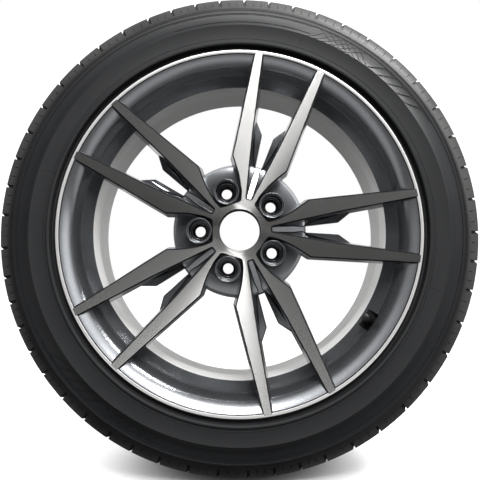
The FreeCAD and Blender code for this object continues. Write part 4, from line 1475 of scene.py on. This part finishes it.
@dataclass
class Studio:
    """Plain floor, soft lights, white surroundings and the camera."""

    floor: float = -0.33435
    camera_place: tuple[float, float, float] = (0.0002, -0.9296, -0.0377)
    camera_pitch: float = 5.71
    lens: float = 45.78
    shift: tuple[float, float] = (0.0006, -0.0908)

    def build_floor(self) -> Object:
        """Wide pale floor, white to the camera away from the wheel, with a contact shadow painted in round
        the wheel on top of its real shadow.

        Returns:
            The floor.
        """
        mesh = bpy.data.meshes.new("studio_floor")
        reach = 6.0
        corners = [(-reach, -reach), (reach, -reach), (reach, reach), (-reach, reach)]
        mesh.from_pydata([(x, y, self.floor) for x, y in corners], [], [(0, 1, 2, 3)])
        material = bpy.data.materials.new("studio_floor")
        material.use_nodes = True
        graph = Graph(material.node_tree)
        shader = material.node_tree.nodes["Principled BSDF"]
        shader.inputs["Roughness"].default_value = 0.9
        shader.inputs["Emission Color"].default_value = (1.0, 1.0, 1.0, 1.0)
        path = graph.add("ShaderNodeLightPath").outputs
        seen = graph.math("MAXIMUM", path["Is Camera Ray"], path["Is Transmission Ray"])
        place = graph.add("ShaderNodeTexCoord").outputs["Object"]
        away = graph.add("ShaderNodeVectorMath", {"0": place}, operation="LENGTH").outputs["Value"]
        ahead = graph.add("ShaderNodeSeparateXYZ", {"0": place}).outputs["Y"]
        # Painted contact shadow: close to the wheel the camera sees a darker base colour
        painted_shadow_fade = graph.product(seen, graph.band(away, 0.335, 0.36, 0.0, 0.3))
        grey, white = (0.06, 0.06, 0.06, 1.0), (1.0, 1.0, 1.0, 1.0)
        graph.put(shader.inputs["Base Color"], graph.mix(painted_shadow_fade, grey, white))
        mirrored = graph.product(
            graph.band(away, 0.4, 0.7, 0.0, 0.72), graph.band(ahead, -1.05, -0.75),
            graph.band(ahead, -0.4, -0.15, 1.0, 0.0), path["Is Glossy Ray"],
        )
        # Painted contact shadow: the emission the camera sees fades out close to the wheel; the glow for
        # glossy rays in front is added to it
        emission_with_painted_shadow = graph.math("MAXIMUM", graph.product(seen, graph.band(away, 0.336, 0.405)), mirrored)
        graph.put(shader.inputs["Emission Strength"], emission_with_painted_shadow)
        mesh.materials.append(material)
        floor = add_object("studio_floor", mesh)
        return floor

    def build_world(self) -> None:
        """White to the camera; for the object a white wall behind, a glow above and a pale tent in front."""
        world = bpy.data.worlds.new("studio_world")
        bpy.context.scene.world = world
        world.use_nodes = True
        graph = Graph(world.node_tree)
        shade = world.node_tree.nodes["Background"]
        path = graph.add("ShaderNodeLightPath").outputs
        way = graph.add("ShaderNodeTexCoord").outputs["Generated"]
        parts = graph.add("ShaderNodeSeparateXYZ", {"0": way}).outputs
        facing = parts["Y"]
        upward = graph.total(graph.product(parts["X"], 0.42), graph.product(parts["Z"], 0.91))
        lifted = graph.total(facing, graph.product(upward, 0.5))
        glow = graph.product(
            graph.band(upward, -0.25, 0.75, 0.02, 1.2), graph.band(lifted, -0.62, -0.45),
            graph.band(facing, -0.5, -0.15, 1.0, 0.0),
        )
        wall = graph.band(facing, 0.74, 0.92, 0.03, 1.35)
        wall = graph.product(wall, graph.band(facing, 0.95, 0.98, 1.0, 0.3))
        tent = graph.product(
            graph.math("MULTIPLY_ADD", parts["X"], 0.6, 1.1), graph.band(facing, -0.92, -0.7),
            graph.band(facing, -0.55, -0.05, 1.0, 0.0),
        )
        room = graph.total(glow, wall, tent)
        seen = graph.math("MAXIMUM", path["Is Camera Ray"], path["Is Transmission Ray"])
        level = graph.math("MAXIMUM", room, seen)
        shade.inputs["Color"].default_value = (1.0, 1.0, 1.0, 1.0)
        graph.put(shade.inputs["Strength"], level)

    def add_light(self, name: str, place: Corner, aim: Corner, size: Corner, power: float) -> None:
        """Add a soft rectangular light.

        Args:
            name: Name of the light.
            place: Its place in metres.
            aim: The point that it looks at.
            size: Its width and height.
            power: Its power in watts.
        """
        data = bpy.data.lights.new(name, "AREA")
        data.shape = "RECTANGLE"
        data.size, data.size_y = size
        data.energy = power
        light = add_object(name, data)
        light.location = place
        light.rotation_euler = (Vector(aim) - Vector(place)).to_track_quat("-Z", "Y").to_euler()

    def build_lights(self) -> None:
        """Softbox above the face, and a light at the upper right that skims the side wall and the tread."""
        middle = (0.0, 0.0, 0.0)
        self.add_light("top_softbox", (0.30, -1.41, 1.38), middle, (1.0, 0.7), 62.0)
        self.add_light("side_light", (1.05, -0.05, 1.45), (0.2, 0.0, 0.2), (0.5, 0.7), 64.0)

    def build_camera(self) -> None:
        """Camera a little below the axle, looking slightly up."""
        data = bpy.data.cameras.new("camera")
        data.sensor_width = 36.0
        data.lens = self.lens
        data.shift_x, data.shift_y = self.shift
        camera = add_object("camera", data)
        camera.location = self.camera_place
        camera.rotation_euler = (math.radians(90 + self.camera_pitch), 0.0, 0.0)
        bpy.context.scene.camera = camera


def dress_nodes(finishes: dict[str, Material]) -> None:
    """Give the CAD nodes that stay their finish.

    Args:
        finishes: Material for each node name.
    """
    for name, material in finishes.items():
        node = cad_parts[name]
        node.data.materials.clear()
        node.data.materials.append(material)
        LOG.info("%s: finish %s", name, material.name)


def main() -> None:
    """Build the studio, then every piece, and report each one."""
    logging.basicConfig(level=logging.INFO, format="%(name)s %(message)s")
    bpy.context.scene.view_settings.view_transform = "Standard"
    studio = Studio()
    studio.build_floor()
    studio.build_world()
    studio.build_lights()
    studio.build_camera()
    valve = Valve()
    brass, steel, seal = BRASS.make(), STEEL.make(), SEAL_RUBBER.make()
    wheel_finishes = [finish.make() for finish in WHEEL_FINISHES]
    pieces = [
        AlloyWheel().build(wheel_finishes, valve),
        Tyre().build(TYRE.make()),
        valve.build_body(VALVE_RUBBER.make()),
        valve.build_cap(CAP_PLASTIC.make()),
        valve.build_spring(steel),
    ]
    for piece in pieces:
        LOG.info("%s: %d faces", piece.name, len(piece.data.polygons))
    dress_nodes({
        "valve_stem": brass, "core_plug": brass, "core_barrel": brass, "core_pin": steel,
        "core_seal": seal, "core_cup": seal, "cap_seal": seal,
    })


if __name__ == "__main__":
    main()
